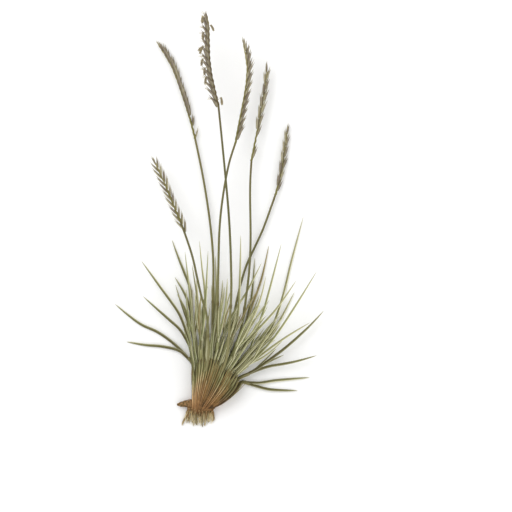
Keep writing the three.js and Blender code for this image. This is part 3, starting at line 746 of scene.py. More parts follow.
def old_sheath_finish():
    """Dead sheath: orange-brown at the root, olive-brown at the torn mouth, with one pale line of
    painted highlight along one side and painted shade along the other
    """
    old = Finish("old_sheath", Specular_IOR_Level=0.15)
    along, side, tone = old.marks("along", "side", "tone")
    fibres = old.streaks(4.0, 0.008)
    warm = old.ramp(
        along, (0, "#7a5731"), (0.3, "#875f37"), (0.5, "#765836"), (0.62, "#675835"),
        (0.78, "#646238"), (1, "#82825a"),
    )
    dull = old.ramp(
        along, (0, "#4a351e"), (0.28, "#4f3a21"), (0.48, "#4b3a22"), (0.6, "#494323"),
        (0.78, "#5a5a34"), (1, "#7b7c52"),
    )
    # Colours of the painted highlight, and its strength: broken in places and weaker towards the
    # mouth
    pale = old.ramp(along, (0.2, "#cb9a68"), (0.5, "#d2b688"), (0.8, "#bdb88a"))
    highlight_breaks = old.band(old.noise(old.vector(tone * 23, along * 2.5, 0.0), 1.0), 0.4, 0.58)
    strength = (1 - 0.4 * old.band(along, 0.55, 0.85)) * (0.4 + 0.6 * highlight_breaks)
    stain = old.noise(old.place(), 160.0, 3.0)
    shade = old.tint(
        old.blend(old.band(tone, 0.4, 0.52), warm, dull),
        ("#b1885a", 0.45, (fibres, 0.5, 0.7)),
        ("#3d2812", 0.7, (fibres, 0.44, 0.22)),
        # Painted highlight along one side of each strip, and painted shade along the other
        (pale, strength, (side, 0.2, 0.42), (side, 0.9, 0.7)),
        ("#30240f", 0.85, (side, -0.1, -0.6)),
        ("#4a3418", 0.3, (stain, 0.5, 0.7)),
        ("#a57c4b", 0.5, (stain, 0.5, 0.34), (along, 0.66, 0.45)),
    )
    return old.close(shade, 0.8 - 0.2 * fibres, fibres, 0.00025)


def fibre_finish():
    """Loose fibre of a worn sheath: straw brown"""
    fibre = Finish("sheath_fibre", Specular_IOR_Level=0.15, Roughness=0.8)
    along, tone = fibre.marks("along", "tone")
    shade = fibre.ramp(along, (0, "#8f6c42"), (0.5, "#a68a59"), (1, "#a39668"))
    fibre.feed(Base_Color=fibre.tint(shade, ("#7c6338", tone * 0.5)))
    return fibre.material


def core_finish():
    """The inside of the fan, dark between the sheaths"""
    core = Finish("packed_core", Specular_IOR_Level=0.2, Roughness=0.9)
    grain = core.noise(core.place(), 900.0, 4.0)
    core.feed(
        Base_Color=core.ramp(grain, (0.3, "#2c1c0e"), (0.7, "#543a1c")),
        Normal=core.bump(grain, 0.0003),
    )
    return core.material


def stem_finish():
    """Flower stem: ribbed olive straw with a brown joint, a darker neck and a painted highlight
    along one side
    """
    stem = Finish("flower_stem", Specular_IOR_Level=0.2)
    along, side, tone, joint = stem.marks("along", "side", "tone", "joint")
    fibres = stem.streaks(3.0, 0.03)
    straw = stem.ramp(
        along, (0, "#817a54"), (0.14, "#858059"), (0.34, "#6d6b45"), (0.6, "#5c5a38"),
        (0.85, "#605c3a"), (1, "#5f5538"),
    )
    shade = stem.tint(
        straw,
        ("#8e8a54", 0.45, (fibres, 0.5, 0.75)),
        ("#433d1e", 0.55, (fibres, 0.44, 0.24)),
        # Painted highlight along one side of the stem
        ("#9c986a", 0.35, (side, -0.6, -0.98)),
        ("#54411f", 0.45, (joint, 0.2, 0.8)),
        ("#8b8455", tone * 0.35),
    )
    return stem.close(shade, 0.58 - 0.2 * fibres, fibres, 0.0001)


def spikelet_finish():
    """Spikelet scale: grey-brown with a violet flush, dark keel, pale papery margin and awn"""
    scale = Finish("spikelet", Specular_IOR_Level=0.18)
    along, side, rim, tone = scale.marks("along", "side", "rim", "tone")
    veins = scale.noise(scale.vector(side * 7, rim * 5, along * 2.5 + tone * 31), 1.0, 4.0)
    violet = scale.ramp(
        along, (0, "#665d3d"), (0.18, "#696049"), (0.45, "#70645a"), (0.72, "#857b68"),
        (1, "#b8ae8c"),
    )
    olive = scale.ramp(
        along, (0, "#6b6638"), (0.2, "#716a48"), (0.5, "#7d7660"), (0.75, "#978f76"),
        (1, "#bcb294"),
    )
    shade = scale.tint(
        scale.blend(scale.band(tone, 0.35, 0.75), violet, olive),
        ("#a79e86", 0.5, (veins, 0.5, 0.7)),
        ("#48403a", 0.55, (veins, 0.44, 0.25)),
        ("#4c4330", 0.6, (side, 0.3, 0.05), (rim, 0.1, 0.8)),
        ("#c6bea0", 0.3 + 0.5 * scale.band(tone, 0.3, 0.7), (side, 0.68, 0.96)),
        ("#5b4d52", 0.2, (scale.noise(scale.place(), 220.0), 0.5, 0.7)),
    )
    return scale.close(shade, 0.7 - 0.2 * veins, veins, 0.00012)


def stalk_finish():
    """Stalk of a spike: olive to dark brown, smooth"""
    stalk = Finish("spike_stalk", Specular_IOR_Level=0.2)
    along, tone = stalk.marks("along", "tone")
    fibres = stalk.streaks(2.6, 0.01)
    light = stalk.ramp(along, (0, "#6f6a36"), (0.5, "#777041"), (1, "#a39a6c"))
    dark = stalk.ramp(along, (0, "#524320"), (0.5, "#504226"), (0.8, "#6e6340"), (1, "#9a8f6a"))
    shade = stalk.tint(
        stalk.blend(tone, light, dark),
        ("#a9a06c", 0.4, (fibres, 0.5, 0.75)),
        ("#3b3118", 0.4, (fibres, 0.42, 0.22)),
    )
    return stalk.close(shade, 0.56 - 0.15 * fibres, fibres, 0.0001)


def anther_finish():
    """Anther: dull buff with a violet flush in its seam"""
    anther = Finish("anther", Specular_IOR_Level=0.15)
    along, side, tone = anther.marks("along", "side", "tone")
    grain = anther.noise(anther.place(), 2600.0, 3.0)
    shade = anther.tint(
        anther.ramp(along, (0, "#857a5c"), (0.5, "#7b7164"), (1, "#968b68")),
        ("#5a4a52", 0.6, (side, 0.35, 0.0)),
        ("#9d8f5c", tone * 0.3),
        ("#b9ac80", 0.35, (grain, 0.5, 0.7)),
    )
    return anther.close(shade, 0.85 - 0.2 * grain, grain, 0.00006)


def feather_finish():
    """Feathery stigma and thread of an anther: cream"""
    feather = Finish("stigma", Specular_IOR_Level=0.25, Roughness=0.75)
    grain = feather.noise(feather.place(), 1500.0)
    feather.feed(Base_Color=feather.ramp(grain, (0.3, "#a89b76"), (0.7, "#cdc19c")))
    return feather.material


def creeping_stem_finish():
    """Creeping stem: red-brown scales, darker in their fibres, olive at the tip"""
    creeper = Finish("creeping_stem", Specular_IOR_Level=0.15)
    along, tone = creeper.marks("along", "tone")
    fibres = creeper.streaks(3.0, 0.006)
    patches = creeper.noise(creeper.place(), 420.0, 4.0)
    brown = creeper.ramp(
        along, (0, "#474527"), (0.1, "#5f5733"), (0.2, "#8a6d48"), (0.35, "#94704c"),
        (0.6, "#93714a"), (1, "#7c5f3a"),
    )
    shade = creeper.tint(
        brown,
        ("#a07a52", 0.3, (patches, 0.5, 0.7)),
        ("#46301a", 0.45, (fibres, 0.45, 0.22)),
        ("#6f5a36", tone * 0.3),
    )
    return creeper.close(shade, 0.8 - 0.2 * patches, fibres + patches * 0.6, 0.0003)


def root_finish():
    """Cord root: tan and olive, wrinkled, paler to its end"""
    root = Finish("cord_root", Specular_IOR_Level=0.25)
    along, side, rim, run, tone = root.marks("along", "side", "rim", "run", "tone")
    wrinkles = root.noise(root.vector(side, rim, run * 900), 1.6)
    shade = root.tint(
        root.ramp(along, (0, "#7b5731"), (0.3, "#755c38"), (0.7, "#847150"), (1, "#b3a078")),
        ("#6c6648", 0.65, (tone, 0.4, 0.7), (along, 0.2, 0.5)),
        ("#baa77c", 0.45, (wrinkles, 0.5, 0.68)),
        ("#4c3b22", 0.55, (wrinkles, 0.44, 0.28)),
    )
    return root.close(shade, 0.85 - 0.15 * wrinkles, wrinkles, 0.0002)


def rootlet_finish():
    """Young rootlet: pale cream, browner where it leaves the root"""
    rootlet = Finish("rootlet", Specular_IOR_Level=0.25, Roughness=0.8)
    along, = rootlet.marks("along")
    shade = rootlet.tint(
        rootlet.ramp(along, (0, "#a58a5c"), (0.35, "#cbb98c"), (1, "#dfd3ae")),
        ("#b59f70", 0.4, (rootlet.streaks(2.0, 0.004), 0.45, 0.7)),
    )
    rootlet.feed(Base_Color=shade)
    return rootlet.material


# Making pieces

STALKS = stalk_tree()
PLACED = placing_tree()
chance = seeded(911)


def between(low, high):
    return mix(low, high, chance())


def line_mesh(name, lines):
    """Lines as edges. A line has its path, and marks that hold a number or one for each point"""
    points, edges = [], []
    marks = {mark: [] for mark in ("thickness", "turn", "tone", "joint")}
    for line in lines:
        first, count = len(points), len(line["path"])
        points += [Vector(place) * MM for place in line["path"]]
        edges += [(first + i, first + i + 1) for i in range(count - 1)]
        for mark, numbers in marks.items():
            value = line.get(mark, 0.0)
            numbers += list(value) if isinstance(value, list) else [value] * count
    marks["thickness"] = [value * MM for value in marks["thickness"]]
    return marked_mesh(name, points, edges, [], marks)


def marked_mesh(name, points, edges, faces, marks=None):
    mesh = bpy.data.meshes.new(name)
    mesh.from_pydata(points, edges, faces)
    for mark, numbers in (marks or {}).items():
        mesh.attributes.new(mark, "FLOAT", "POINT").data.foreach_set("value", numbers)
    return mesh


def stand(name, mesh):
    piece = bpy.data.objects.new(name, mesh)
    bpy.context.scene.collection.objects.link(piece)
    return piece


def grown(name, mesh, tree, **inputs):
    """Runs a tree on a mesh and keeps what it makes as a plain mesh"""
    start = stand(name + "_start", mesh)
    modifier = start.modifiers.new("growth", "NODES")
    modifier.node_group = tree
    for item in tree.interface.items_tree:
        if item.in_out == "INPUT" and item.name in inputs:
            modifier[item.identifier] = inputs[item.name]
    ready = start.evaluated_get(bpy.context.evaluated_depsgraph_get())
    made = bpy.data.meshes.new_from_object(ready)
    made.name = name
    bpy.data.objects.remove(start)
    return stand(name, made)


def stalks(
    name, lines, finish, step=1.5, sides=10, flatness=1.0, dish=0.0, ribs=0.0, rib_depth=0.0
):
    return grown(
        name, line_mesh(name, lines), STALKS, Step=step * MM, Sides=sides, Flatness=flatness,
        Dish=dish, Ribs=ribs, RibDepth=rib_depth, Finish=finish,
    )


def placed(name, points, piece, finish):
    """Copies of a piece. A point has its place, turning, size and tone"""
    places, turnings, sizes, tones = zip(*points)
    mesh = marked_mesh(name, [Vector(place) * MM for place in places], [], [], {"tone": tones})
    for mark, vectors in (("turning", turnings), ("size", sizes)):
        flat = [number for vector in vectors for number in vector]
        mesh.attributes.new(mark, "FLOAT_VECTOR", "POINT").data.foreach_set("vector", flat)
    return grown(name, mesh, PLACED, Piece=piece, Finish=finish)


def joined(name, *parts):
    """Makes one piece of several"""
    with bpy.context.temp_override(
        active_object=parts[0], object=parts[0], selected_objects=parts,
        selected_editable_objects=parts,
    ):
        bpy.ops.object.join()
    parts[0].name = parts[0].data.name = name
    return parts[0]


def dress(piece, slot, *nodes):
    """Hands a finished piece to the frame"""
    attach(piece, "root")
    if nodes:
        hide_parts(*nodes)


def smooth_points(line, step):
    """Smooth points along a line, about a step apart, each with its share of the way"""
    count = max(2, round((line[-1].along - line[0].along) / step))
    points = [(knot.x, knot.y, knot.z) for knot in line]
    return [(spline_point(points, i / count), i / count) for i in range(count + 1)]


def skin(rings, first=0):
    """Faces of a closed skin round rings of equal count, capped at both ends. First is the
    number of the first point"""
    count, faces = len(rings[0]), []
    for base in range(first, first + (len(rings) - 1) * count, count):
        for k in range(count):
            a, b = base + k, base + (k + 1) % count
            faces.append((a, b, b + count, a + count))
    last = first + (len(rings) - 1) * count
    faces.append(tuple(range(first + count - 1, first - 1, -1)))
    faces.append(tuple(range(last, last + count)))
    return faces


def smooth(mesh):
    mesh.shade_smooth()
    return mesh


# Leaf shoots

LEAF = leaf_finish()
LIVING_SHEATH = living_sheath_finish()


# Width of a blade at its foot, share of the way where it is widest, and how late and how bluntly
# it narrows. It is never thinner than the last number
BLADE_FOOT, SWELL_END, TAPER, BLUNTNESS, THINNEST = 0.75, 0.15, 5.5, 0.75, 0.06


def blade_stalk(line, widest, tone):
    """A blade swells a little above its sheath and narrows to a fine tip"""
    path = smooth_points(line, 4)
    thickness = []
    for _, s in path:
        swell = mix(BLADE_FOOT, 1, min(1, s / SWELL_END))
        thickness.append(max(THINNEST, widest * swell * (1 - s ** TAPER) ** BLUNTNESS))
    return {
        "path": [
            (x, y, max(z, 0.95 * radius + 0.1)) for ((x, y, z), _), radius in zip(path, thickness)
        ],
        "thickness": thickness,
        "turn": [0.5 * (tone - 0.5) * s for _, s in path],
        "tone": tone,
    }


def sheath_stalk(line, tone):
    path = smooth_points(line, 2)
    return {
        "path": [place for place, _ in path],
        "thickness": [
            mix(SHEATH_RADIUS, SHEATH_TOP_RADIUS, s) * (1.02 if s < 0.9 else 0.92) for _, s in path
        ],
        "tone": tone,
    }


def drawn_in(line, sheath, share):
    """Turns a short blade nearer to the way that its sheath points"""
    hinge = sheath[-1]
    way = math.atan2(hinge.y - FAN_CENTRE[1], hinge.x - FAN_CENTRE[0])
    aim = math.atan2(line[-1].y - hinge.y, line[-1].x - hinge.x)
    swing = (way - aim) * share
    for knot in line:
        if knot.along > hinge.along - sheath[3].along:
            x, y = knot.x - hinge.x, knot.y - hinge.y
            knot.x = hinge.x + x * math.cos(swing) - y * math.sin(swing)
            knot.y = hinge.y + x * math.sin(swing) + y * math.cos(swing)


def reach_on(line, extra):
    """Draws the last stretch of a blade out to a longer tip"""
    before, last = line[-2:]
    stretch = 1 + extra / (last.along - before.along)
    for part in ("x", "y", "along"):
        setattr(last, part, mix(getattr(before, part), getattr(last, part), stretch))


OUTER_SHOOTS = (1, 2, 6, 7, 10)
# How much longer the tips of the long blades are: on most shoots, and on some
TIP_REACH, TIP_REACHES = 2.2, {1: 0.8, 2: 2, 7: 1, 11: 6.5, 12: 8, 16: 8.5}
LONG_FINENESS, OUTER_FINENESS = 0.95, 1.18
DRY_SHARE, DRY_TONE, LEAST_TONE = 0.1, 0.05, 0.16
BLADE_SECTION = {"flatness": 0.5, "dish": 0.42}

for number, (sheath, blades, long_count) in shoots.items():
    green = between(0.2, 0.34) if number in OUTER_SHOOTS else between(0.45, 0.85)
    stalk_list = []
    for i, line in enumerate(blades):
        widest = BLADE_RADIUS * between(0.62, 0.82)
        if i < long_count:
            widest = BLADE_RADIUS * (OUTER_FINENESS if number in OUTER_SHOOTS else LONG_FINENESS)
            reach_on(line, TIP_REACHES.get(number, TIP_REACH))
        else:
            drawn_in(line, sheath, 0.5)
        dry = number not in OUTER_SHOOTS and chance() < DRY_SHARE
        tone = DRY_TONE if dry else max(LEAST_TONE, green + between(-0.2, 0.2))
        stalk_list.append(blade_stalk(line, widest, tone))
    name = f"leaf_shoot_{number:02d}"
    leaves = stalks(name, stalk_list, LEAF, **BLADE_SECTION)
    base = stalks(
        name + "_sheath", [sheath_stalk(sheath, green)], LIVING_SHEATH,
        sides=18, flatness=0.92, ribs=9.0, rib_depth=0.035,
    )
    dress(joined(name, leaves, base), "shoot", f"shoot_{number:02d}")


# Young leaves stand between the shoots and fill the mouth of the fan
YOUNG_COLUMNS, YOUNG_LEVELS = 19, (0.1, 0.28, 0.46, 0.62, 0.76, 0.88)
YOUNG_FOOT, YOUNG_LEFT, YOUNG_RIGHT = 0.6, 0.03, 0.74
YOUNG_THICKNESS = [0.58, 0.64, 0.62, 0.57, 0.46, 0.07]
young = []
for row, level in enumerate(YOUNG_LEVELS):
    shift = 0.5 * (row % 2) + 0.25
    for i in range(YOUNG_COLUMNS):
        place = (i + shift + between(-0.25, 0.25)) / (YOUNG_COLUMNS - 2)
        share = mix(YOUNG_LEFT, YOUNG_RIGHT, place)
        heading = math.radians(mix(FAN_LEFT, FAN_RIGHT, share) + between(-4, 4))
        bend = math.radians(between(-7, 7))
        long = i % 3 == 1
        reach = between(28, 44) if long else between(8, 28)
        rise = 0.5 * level * level
        foot, mouth = fan_point(share, YOUNG_FOOT), fan_point(share, 1.0)
        base = fan_thickness(share, 1.0) * level
        path = [(*foot, fan_thickness(share, YOUNG_FOOT) * level * 0.9), (*mouth, base)]
        for k in (0.25, 0.5, 0.75, 1):
            turn = heading + bend * (k - 1)
            past = reach * k
            path.append((
                mouth[0] + past * math.cos(turn), mouth[1] + past * math.sin(turn),
                base + rise * past * (1 - 0.45 * k) + between(-0.2, 0.2),
            ))
        young.append({
            "path": path, "thickness": YOUNG_THICKNESS, "turn": between(-0.4, 0.4),
            "tone": between(0.3, 0.7) if long or share < 0.2 else between(0.3, 0.95),
        })
dress(stalks("young_leaves", young, LEAF, **BLADE_SECTION), "shoot")


# Flower stems

STEM = stem_finish()
JOINT_AT, JOINT_HALF = 0.3, 1.6
OVERLAP, STEM_FINENESS = 0.8, 0.88


def stem_stalk(line, tone):
    path = smooth_points(line, 1)
    length = line[-1].along
    joint_share = round((len(line) - 1) * JOINT_AT) / (len(line) - 1)
    thickness, joint = [], []
    for _, s in path:
        away = abs(s - joint_share) * length / JOINT_HALF
        swell = max(0, 1 - away * away)
        plain = mix(CULM_RADIUS, CULM_TOP_RADIUS, s) * STEM_FINENESS
        thickness.append(mix(plain, CULM_JOINT_RADIUS * STEM_FINENESS, swell))
        joint.append(swell)
    return {"path": [p for p, _ in path], "thickness": thickness, "joint": joint, "tone": tone}


for number, (stem, *_) in culms.items():
    piece = stalks(
        f"flower_stem_{number:02d}", [stem_stalk(stem, chance())], STEM,
        step=1.0, sides=18, ribs=9.0, rib_depth=0.04,
    )
    dress(piece, "culm", f"stem_{number:02d}")


# Flower spikes

SPIKELET = spikelet_finish()
STALK = stalk_finish()
ANTHER = anther_finish()
FEATHER = feather_finish()


RING_CORNERS = 8


class Shape:
    """A small shape of closed skins, with the marks of its points"""

    def __init__(self):
        self.points, self.faces = [], []
        self.marks = {"along": [], "side": [], "rim": []}

    def add_skin(self, stations, ring_point):
        """Adds a skin round rings, one at each station. For a station and an angle, ring_point
        gives the point and its marks side and rim"""
        rings, first = [], len(self.points)
        for station in stations:
            rings.append([])
            for k in range(RING_CORNERS):
                point, side, rim = ring_point(station, 2 * math.pi * k / RING_CORNERS)
                rings[-1].append(point)
                for mark, number in (("along", point[0]), ("side", side), ("rim", rim)):
                    self.marks[mark].append(number)
            self.points += rings[-1]
        self.faces += skin(rings, first)

    def mesh(self, name):
        return smooth(marked_mesh(name, self.points, [], self.faces, self.marks))


def add_scale(shape, stations, back, front, lean, drop):
    """One folded scale of a spikelet, a unit long: a keeled boat that ends in an awn"""
    def ring_point(station, angle):
        s, width = station
        side, up = math.cos(angle), math.sin(angle)
        height = back * abs(up) ** 0.85 if up > 0 else front * up
        return (s, width * side, drop + lean * s * s + width * height), abs(side), up

    shape.add_skin(stations, ring_point)


def spikelet_shape():
    """Two scales folded round each other, with two awned tips that part a little"""
    shape = Shape()
    outer = [
        (0.0, 0.03), (0.07, 0.06), (0.2, 0.087), (0.36, 0.09), (0.52, 0.075), (0.67, 0.051),
        (0.79, 0.03), (0.9, 0.014), (1.0, 0.003),
    ]
    inner = [
        (0.06, 0.04), (0.24, 0.066), (0.46, 0.056), (0.63, 0.032), (0.75, 0.013), (0.83, 0.004),
    ]
    add_scale(shape, outer, back=1.0, front=0.35, lean=0.03, drop=0.0)
    add_scale(shape, inner, back=0.6, front=0.8, lean=-0.085, drop=-0.028)
    return shape.mesh("spikelet_shape")


def anther_shape():
    """Two sacs side by side that meet in the middle and part at both ends, a unit long"""
    shape = Shape()
    for way in (-1, 1):
        def ring_point(s, angle):
            radius = 0.11 * math.sin(math.pi * mix(0.05, 0.95, s)) ** 0.65
            middle = way * (0.075 + 0.025 * (2 * s - 1) ** 2)
            side, up = math.cos(angle), math.sin(angle)
            return (s, middle + radius * side, radius * up), abs(way + side) / 2, up

        shape.add_skin([i / 10 for i in range(11)], ring_point)
    return shape.mesh("anther_shape")


def feather_shape():
    """A stigma, a unit long: a thread with a row of fine hairs on each side"""
    points, faces = [], []

    def sliver(root, tip, radius):
        first = len(points)
        axis = (Vector(tip) - Vector(root)).normalized()
        side = axis.cross(Vector((0, 0, 1))).normalized()
        lift = side.cross(axis)
        for k in range(3):
            angle = 2 * math.pi * k / 3
            offset = side * math.cos(angle) + lift * math.sin(angle)
            points.append(tuple(Vector(root) + offset * radius))
        points.append(tip)
        faces.extend([
            (first, first + 1, first + 3), (first + 1, first + 2, first + 3),
            (first + 2, first, first + 3), (first + 2, first + 1, first),
        ])

    sliver((0, 0, 0), (1, 0, 0.05), 0.02)
    for i in range(15):
        s = mix(0.25, 0.97, i / 14)
        reach = 0.16 * math.sin(math.pi * mix(0.2, 0.95, i / 14)) + 0.04
        for way in (-1, 1):
            sliver((s, 0, 0.05 * s), (s + reach * 0.7, way * reach, 0.05 * s + 0.04 * way), 0.009)
    return marked_mesh("feather_shape", points, [], faces)


GREYER_SPIKES = (1, 3)
THREAD_THICKNESS = 0.17
SPIKELET_SHAPE = stand("spikelet_shape", spikelet_shape())
ANTHER_SHAPE = stand("anther_shape", anther_shape())
FEATHER_SHAPE = stand("feather_shape", feather_shape())


# How far a spike's stalk steps aside, and its thickness where it steps out and in
STALK_STEP, STEP_OUT, STEP_IN = 0.16, 1.1, 0.94


def rachis_stalk(spike, dark):
    """The stalk steps a little from side to side where the spikelets stand on it"""
    length = spike[-1].along - spike[0].along
    count = max(8, round(length / 2))
    path, thickness = [], []
    for i in range(count + 1):
        distance = mix(-OVERLAP, length - 0.01, i / count)
        place, _, heading = on_line(spike, distance)
        step = STALK_STEP if i % 2 else -STALK_STEP
        path.append(place + Vector((math.sin(heading), -math.cos(heading), 0)) * step)
        s = i / count
        narrowing = min(1, (1.02 - s) / 0.12)
        notched = STEP_OUT if i % 2 else STEP_IN
        thickness.append(mix(RACHIS_RADIUS, RACHIS_TIP_RADIUS, s) * notched * narrowing)
    thickness[0] = CULM_TOP_RADIUS * 0.98
    return {"path": path, "thickness": thickness, "tone": dark}


for number, (_, spike, spikelets, hung) in culms.items():
    name = f"flower_spike_{number:02d}"
    parts = [stalks(name, [rachis_stalk(spike, 1.0 if hung else 0.0)], STALK, step=0.8)]
    points = []
    for place, turn, climb, size, side, i in spikelets:
        pitch = -math.atan(climb)
        reach = size * math.hypot(1, climb) * MM
        wide = reach * (SPIKELETS[number][3][i % 2] if i >= 0 else LONE_WIDTH)
        roll = -side * math.radians(between(35, 75) if i % 2 else between(55, 95))
        tone = between(0.15, 0.9)
        if hung:
            tone = between(0.0, 0.3)
        if number in GREYER_SPIKES:
            tone = between(0.1, 0.7)
        if i < 0:
            tone = 1.0
        points.append((place, (roll, pitch, turn), (reach, wide, wide), tone))
    parts.append(placed(name + "_spikelets", points, SPIKELET_SHAPE, SPIKELET))
    if hung:
        threads, points, plumes = [], [], []
        for place, heading, side, lean, reach in hung:
            out = heading - side * math.radians(60)
            droop = heading - side * math.radians(180 - lean)
            bend = place + Vector((math.cos(out), math.sin(out), 0)) * reach
            middle = place.lerp(bend, 0.6) + Vector((0, 0, 0.5))
            hang = bend + Vector((math.cos(droop), math.sin(droop), 0)) * ANTHER_LENGTH * 0.4
            threads.append({
                "path": [place, middle, bend, hang], "thickness": THREAD_THICKNESS, "tone": 0.5,
            })
            for k in range(2):
                size = ANTHER_LENGTH * between(0.95, 1.15) * MM
                turning = (between(-0.5, 0.5), 0.1, droop - side * (0.08 + 0.2 * k))
                start = bend.lerp(hang, 0.9 * k)
                points.append((start, turning, (size, size * 1.1, size * 1.1), chance()))
        for place, turn, climb, size, side, i in spikelets:
            for k in range(2):
                way = Vector((math.cos(turn), math.sin(turn), climb))
                start = place + way * size * between(0.45, 0.6)
                reach = between(3.2, 4.6) * MM
                swing = turn - side * math.radians(between(12, 50))
                turning = (between(-1, 1), between(-0.2, 0.1), swing)
                plumes.append((start, turning, (reach, reach, reach), 0.5))
        parts.append(stalks(name + "_threads", threads, FEATHER, step=0.5, sides=5))
        parts.append(placed(name + "_anthers", points, ANTHER_SHAPE, ANTHER))
        parts.append(placed(name + "_stigmas", plumes, FEATHER_SHAPE, FEATHER))
    dress(joined(name, *parts), "spike", f"spike_{number:02d}")

for shape in (SPIKELET_SHAPE, ANTHER_SHAPE, FEATHER_SHAPE):
    bpy.data.objects.remove(shape)


# Old sheaths

OLD_SHEATH = old_sheath_finish()
FIBRE = fibre_finish()
CORE = core_finish()
TOP_STRIPS, SIDE_STRIPS = 22, 3
# How much further out, or further in, the torn mouth lies along the fan, left to right
MOUTH_REACHES = (-6.5, -3, 1.5, 1, -0.5, -0.5, -2.5, -5, -1.5)
AROUND = 2 * (TOP_STRIPS + SIDE_STRIPS)
INNER_STRIPS, FIBRES, CORE_DEPTH = 22, 80, 1.25


def mouth_reach(share):
    return spline_point([(reach,) for reach in MOUTH_REACHES], share)[0]


def fan_skin(strip, along, inset, reach=0.0):
    """A point on the outside of the fan. Strips are counted over the top from the left, down
    the right side, back along the underside and up the left side"""
    strip %= AROUND
    if strip < TOP_STRIPS:
        share, level = strip / TOP_STRIPS, 1.0
    elif strip < TOP_STRIPS + SIDE_STRIPS:
        share, level = 1.0, 1 - (strip - TOP_STRIPS) / SIDE_STRIPS
    elif strip < 2 * TOP_STRIPS + SIDE_STRIPS:
        share, level = 1 - (strip - TOP_STRIPS - SIDE_STRIPS) / TOP_STRIPS, 0.0
    else:
        share, level = 0.0, (strip - 2 * TOP_STRIPS - SIDE_STRIPS) / SIDE_STRIPS
    share = mix(inset * 0.025, 1 - inset * 0.025, share)
    tuck = max(0.0, 1 - along / 0.2)
    height = fan_thickness(share, along) * max(0.3, 1 - 0.26 * tuck * tuck)
    x, y = fan_point(share, along, reach + mouth_reach(share))
    return Vector((x, y, mix(inset, height - inset, level)))


STRIP_STOPS = (-0.1, -0.05, 0, 0.06, 0.14, 0.25, 0.4, 0.55, 0.7, 0.82, 0.9, 0.96, 1)
STRIP_FINENESS, THINNEST_STRIP, THICKEST_STRIP = 0.68, 0.5, 2.2


def strip_stalk(strip, inset, reach, tone):
    """One old sheath that lies flat on the skin of the fan and narrows where it is torn"""
    ahead, aside = 0.03, 0.4

    def on_skin(strip, along):
        return fan_skin(strip, along, inset, reach)

    path, thickness, turn = [], [], []
    for along in STRIP_STOPS:
        place = on_skin(strip, along)
        forward = (on_skin(strip, along + ahead) - on_skin(strip, along - ahead)).normalized()
        across = on_skin(strip + aside, along) - on_skin(strip - aside, along)
        outward = across.cross(forward).normalized()
        right = forward.cross(Vector((0, 0, 1))).normalized()
        turn.append(math.atan2(outward.dot(right), outward.dot(right.cross(forward))))
        torn = 1 - 0.85 * max(0, along - 0.8) / 0.2
        broad = across.length / (2 * aside) * STRIP_FINENESS
        thickness.append(min(THICKEST_STRIP, max(THINNEST_STRIP, broad)) * torn)
        path.append((place.x, place.y, max(place.z, 0.7 * thickness[-1] + 0.05)))
    for i in range(1, len(turn)):
        turn[i] -= 2 * math.pi * round((turn[i] - turn[i - 1]) / (2 * math.pi))
    return {"path": path, "thickness": thickness, "turn": turn, "tone": tone}


strips = []
for strip in range(AROUND):
    centre = strip + 0.5
    on_top = strip < TOP_STRIPS
    share = centre / TOP_STRIPS if on_top else 0.5
    tone = between(0.0, 0.7) + (0.3 * share if on_top else -0.2)
    reach = between(-1, 7) if on_top and share < 0.85 else between(-0.5, 3)
    strips.append(strip_stalk(centre, between(0.55, 0.95), reach, tone))
inner_strips = []
for level in (1 / 3, 2 / 3):
    for i in range(INNER_STRIPS):
        share = (i + 0.5 + between(-0.2, 0.2)) / INNER_STRIPS
        reach = between(-1, 6 if share < 0.85 else 2) + mouth_reach(share)
        path = []
        for along in (0.55, 0.7, 0.85, 0.95, 1.0):
            x, y = fan_point(share, along, reach)
            path.append((x, y, fan_thickness(share, along) * level + between(-0.2, 0.2)))
        inner_strips.append({
            "path": path, "thickness": [0.7, 0.8, 0.75, 0.5, 0.18],
            "turn": between(-0.5, 0.5), "tone": between(0.2, 1.0),
        })
fibres = []
for _ in range(FIBRES):
    strip, reach = between(0, AROUND), between(0, 5.5)
    start = between(0.1, 0.75)
    fibres.append({
        "path": [fan_skin(strip, mix(start, 1.0, k / 6), 0.35, reach) for k in range(7)],
        "thickness": [0.2] * 5 + [0.14, 0.05], "tone": chance(),
    })

outer = stalks("old_sheaths", strips, OLD_SHEATH, step=1.2, sides=14, flatness=0.34, dish=-0.3)
inner = stalks(
    "inner_sheaths", inner_strips, OLD_SHEATH, step=1.2, sides=12, flatness=0.3, dish=-0.3
)
loose = stalks("sheath_fibres", fibres, FIBRE, step=1.5, sides=5)
dress(joined("old_sheath_fan", outer, inner), "sheath", "old_sheaths")
dress(loose, "sheath")

core_rings = []
for i in range(9):
    along = mix(0.06, 0.9, i / 8)
    ring = [fan_skin(strip + 0.5, along, CORE_DEPTH) for strip in range(AROUND)]
    core_rings.append([(p.x * MM, p.y * MM, max(p.z, 1.9) * MM) for p in ring])
core_points = [point for ring in core_rings for point in ring]
core_mesh = marked_mesh("packed_core", core_points, [], skin(core_rings))
core_mesh.materials.append(CORE)
dress(stand("packed_core", smooth(core_mesh)), "sheath")


# Creeping stem and roots

CREEPER = creeping_stem_finish()
ROOT = root_finish()
ROOTLET = rootlet_finish()

BODY_STEPS, RING_STEPS = 90, 9
SCALES, ROOT_FIBRES, ROOTLETS = 26, 20, 84

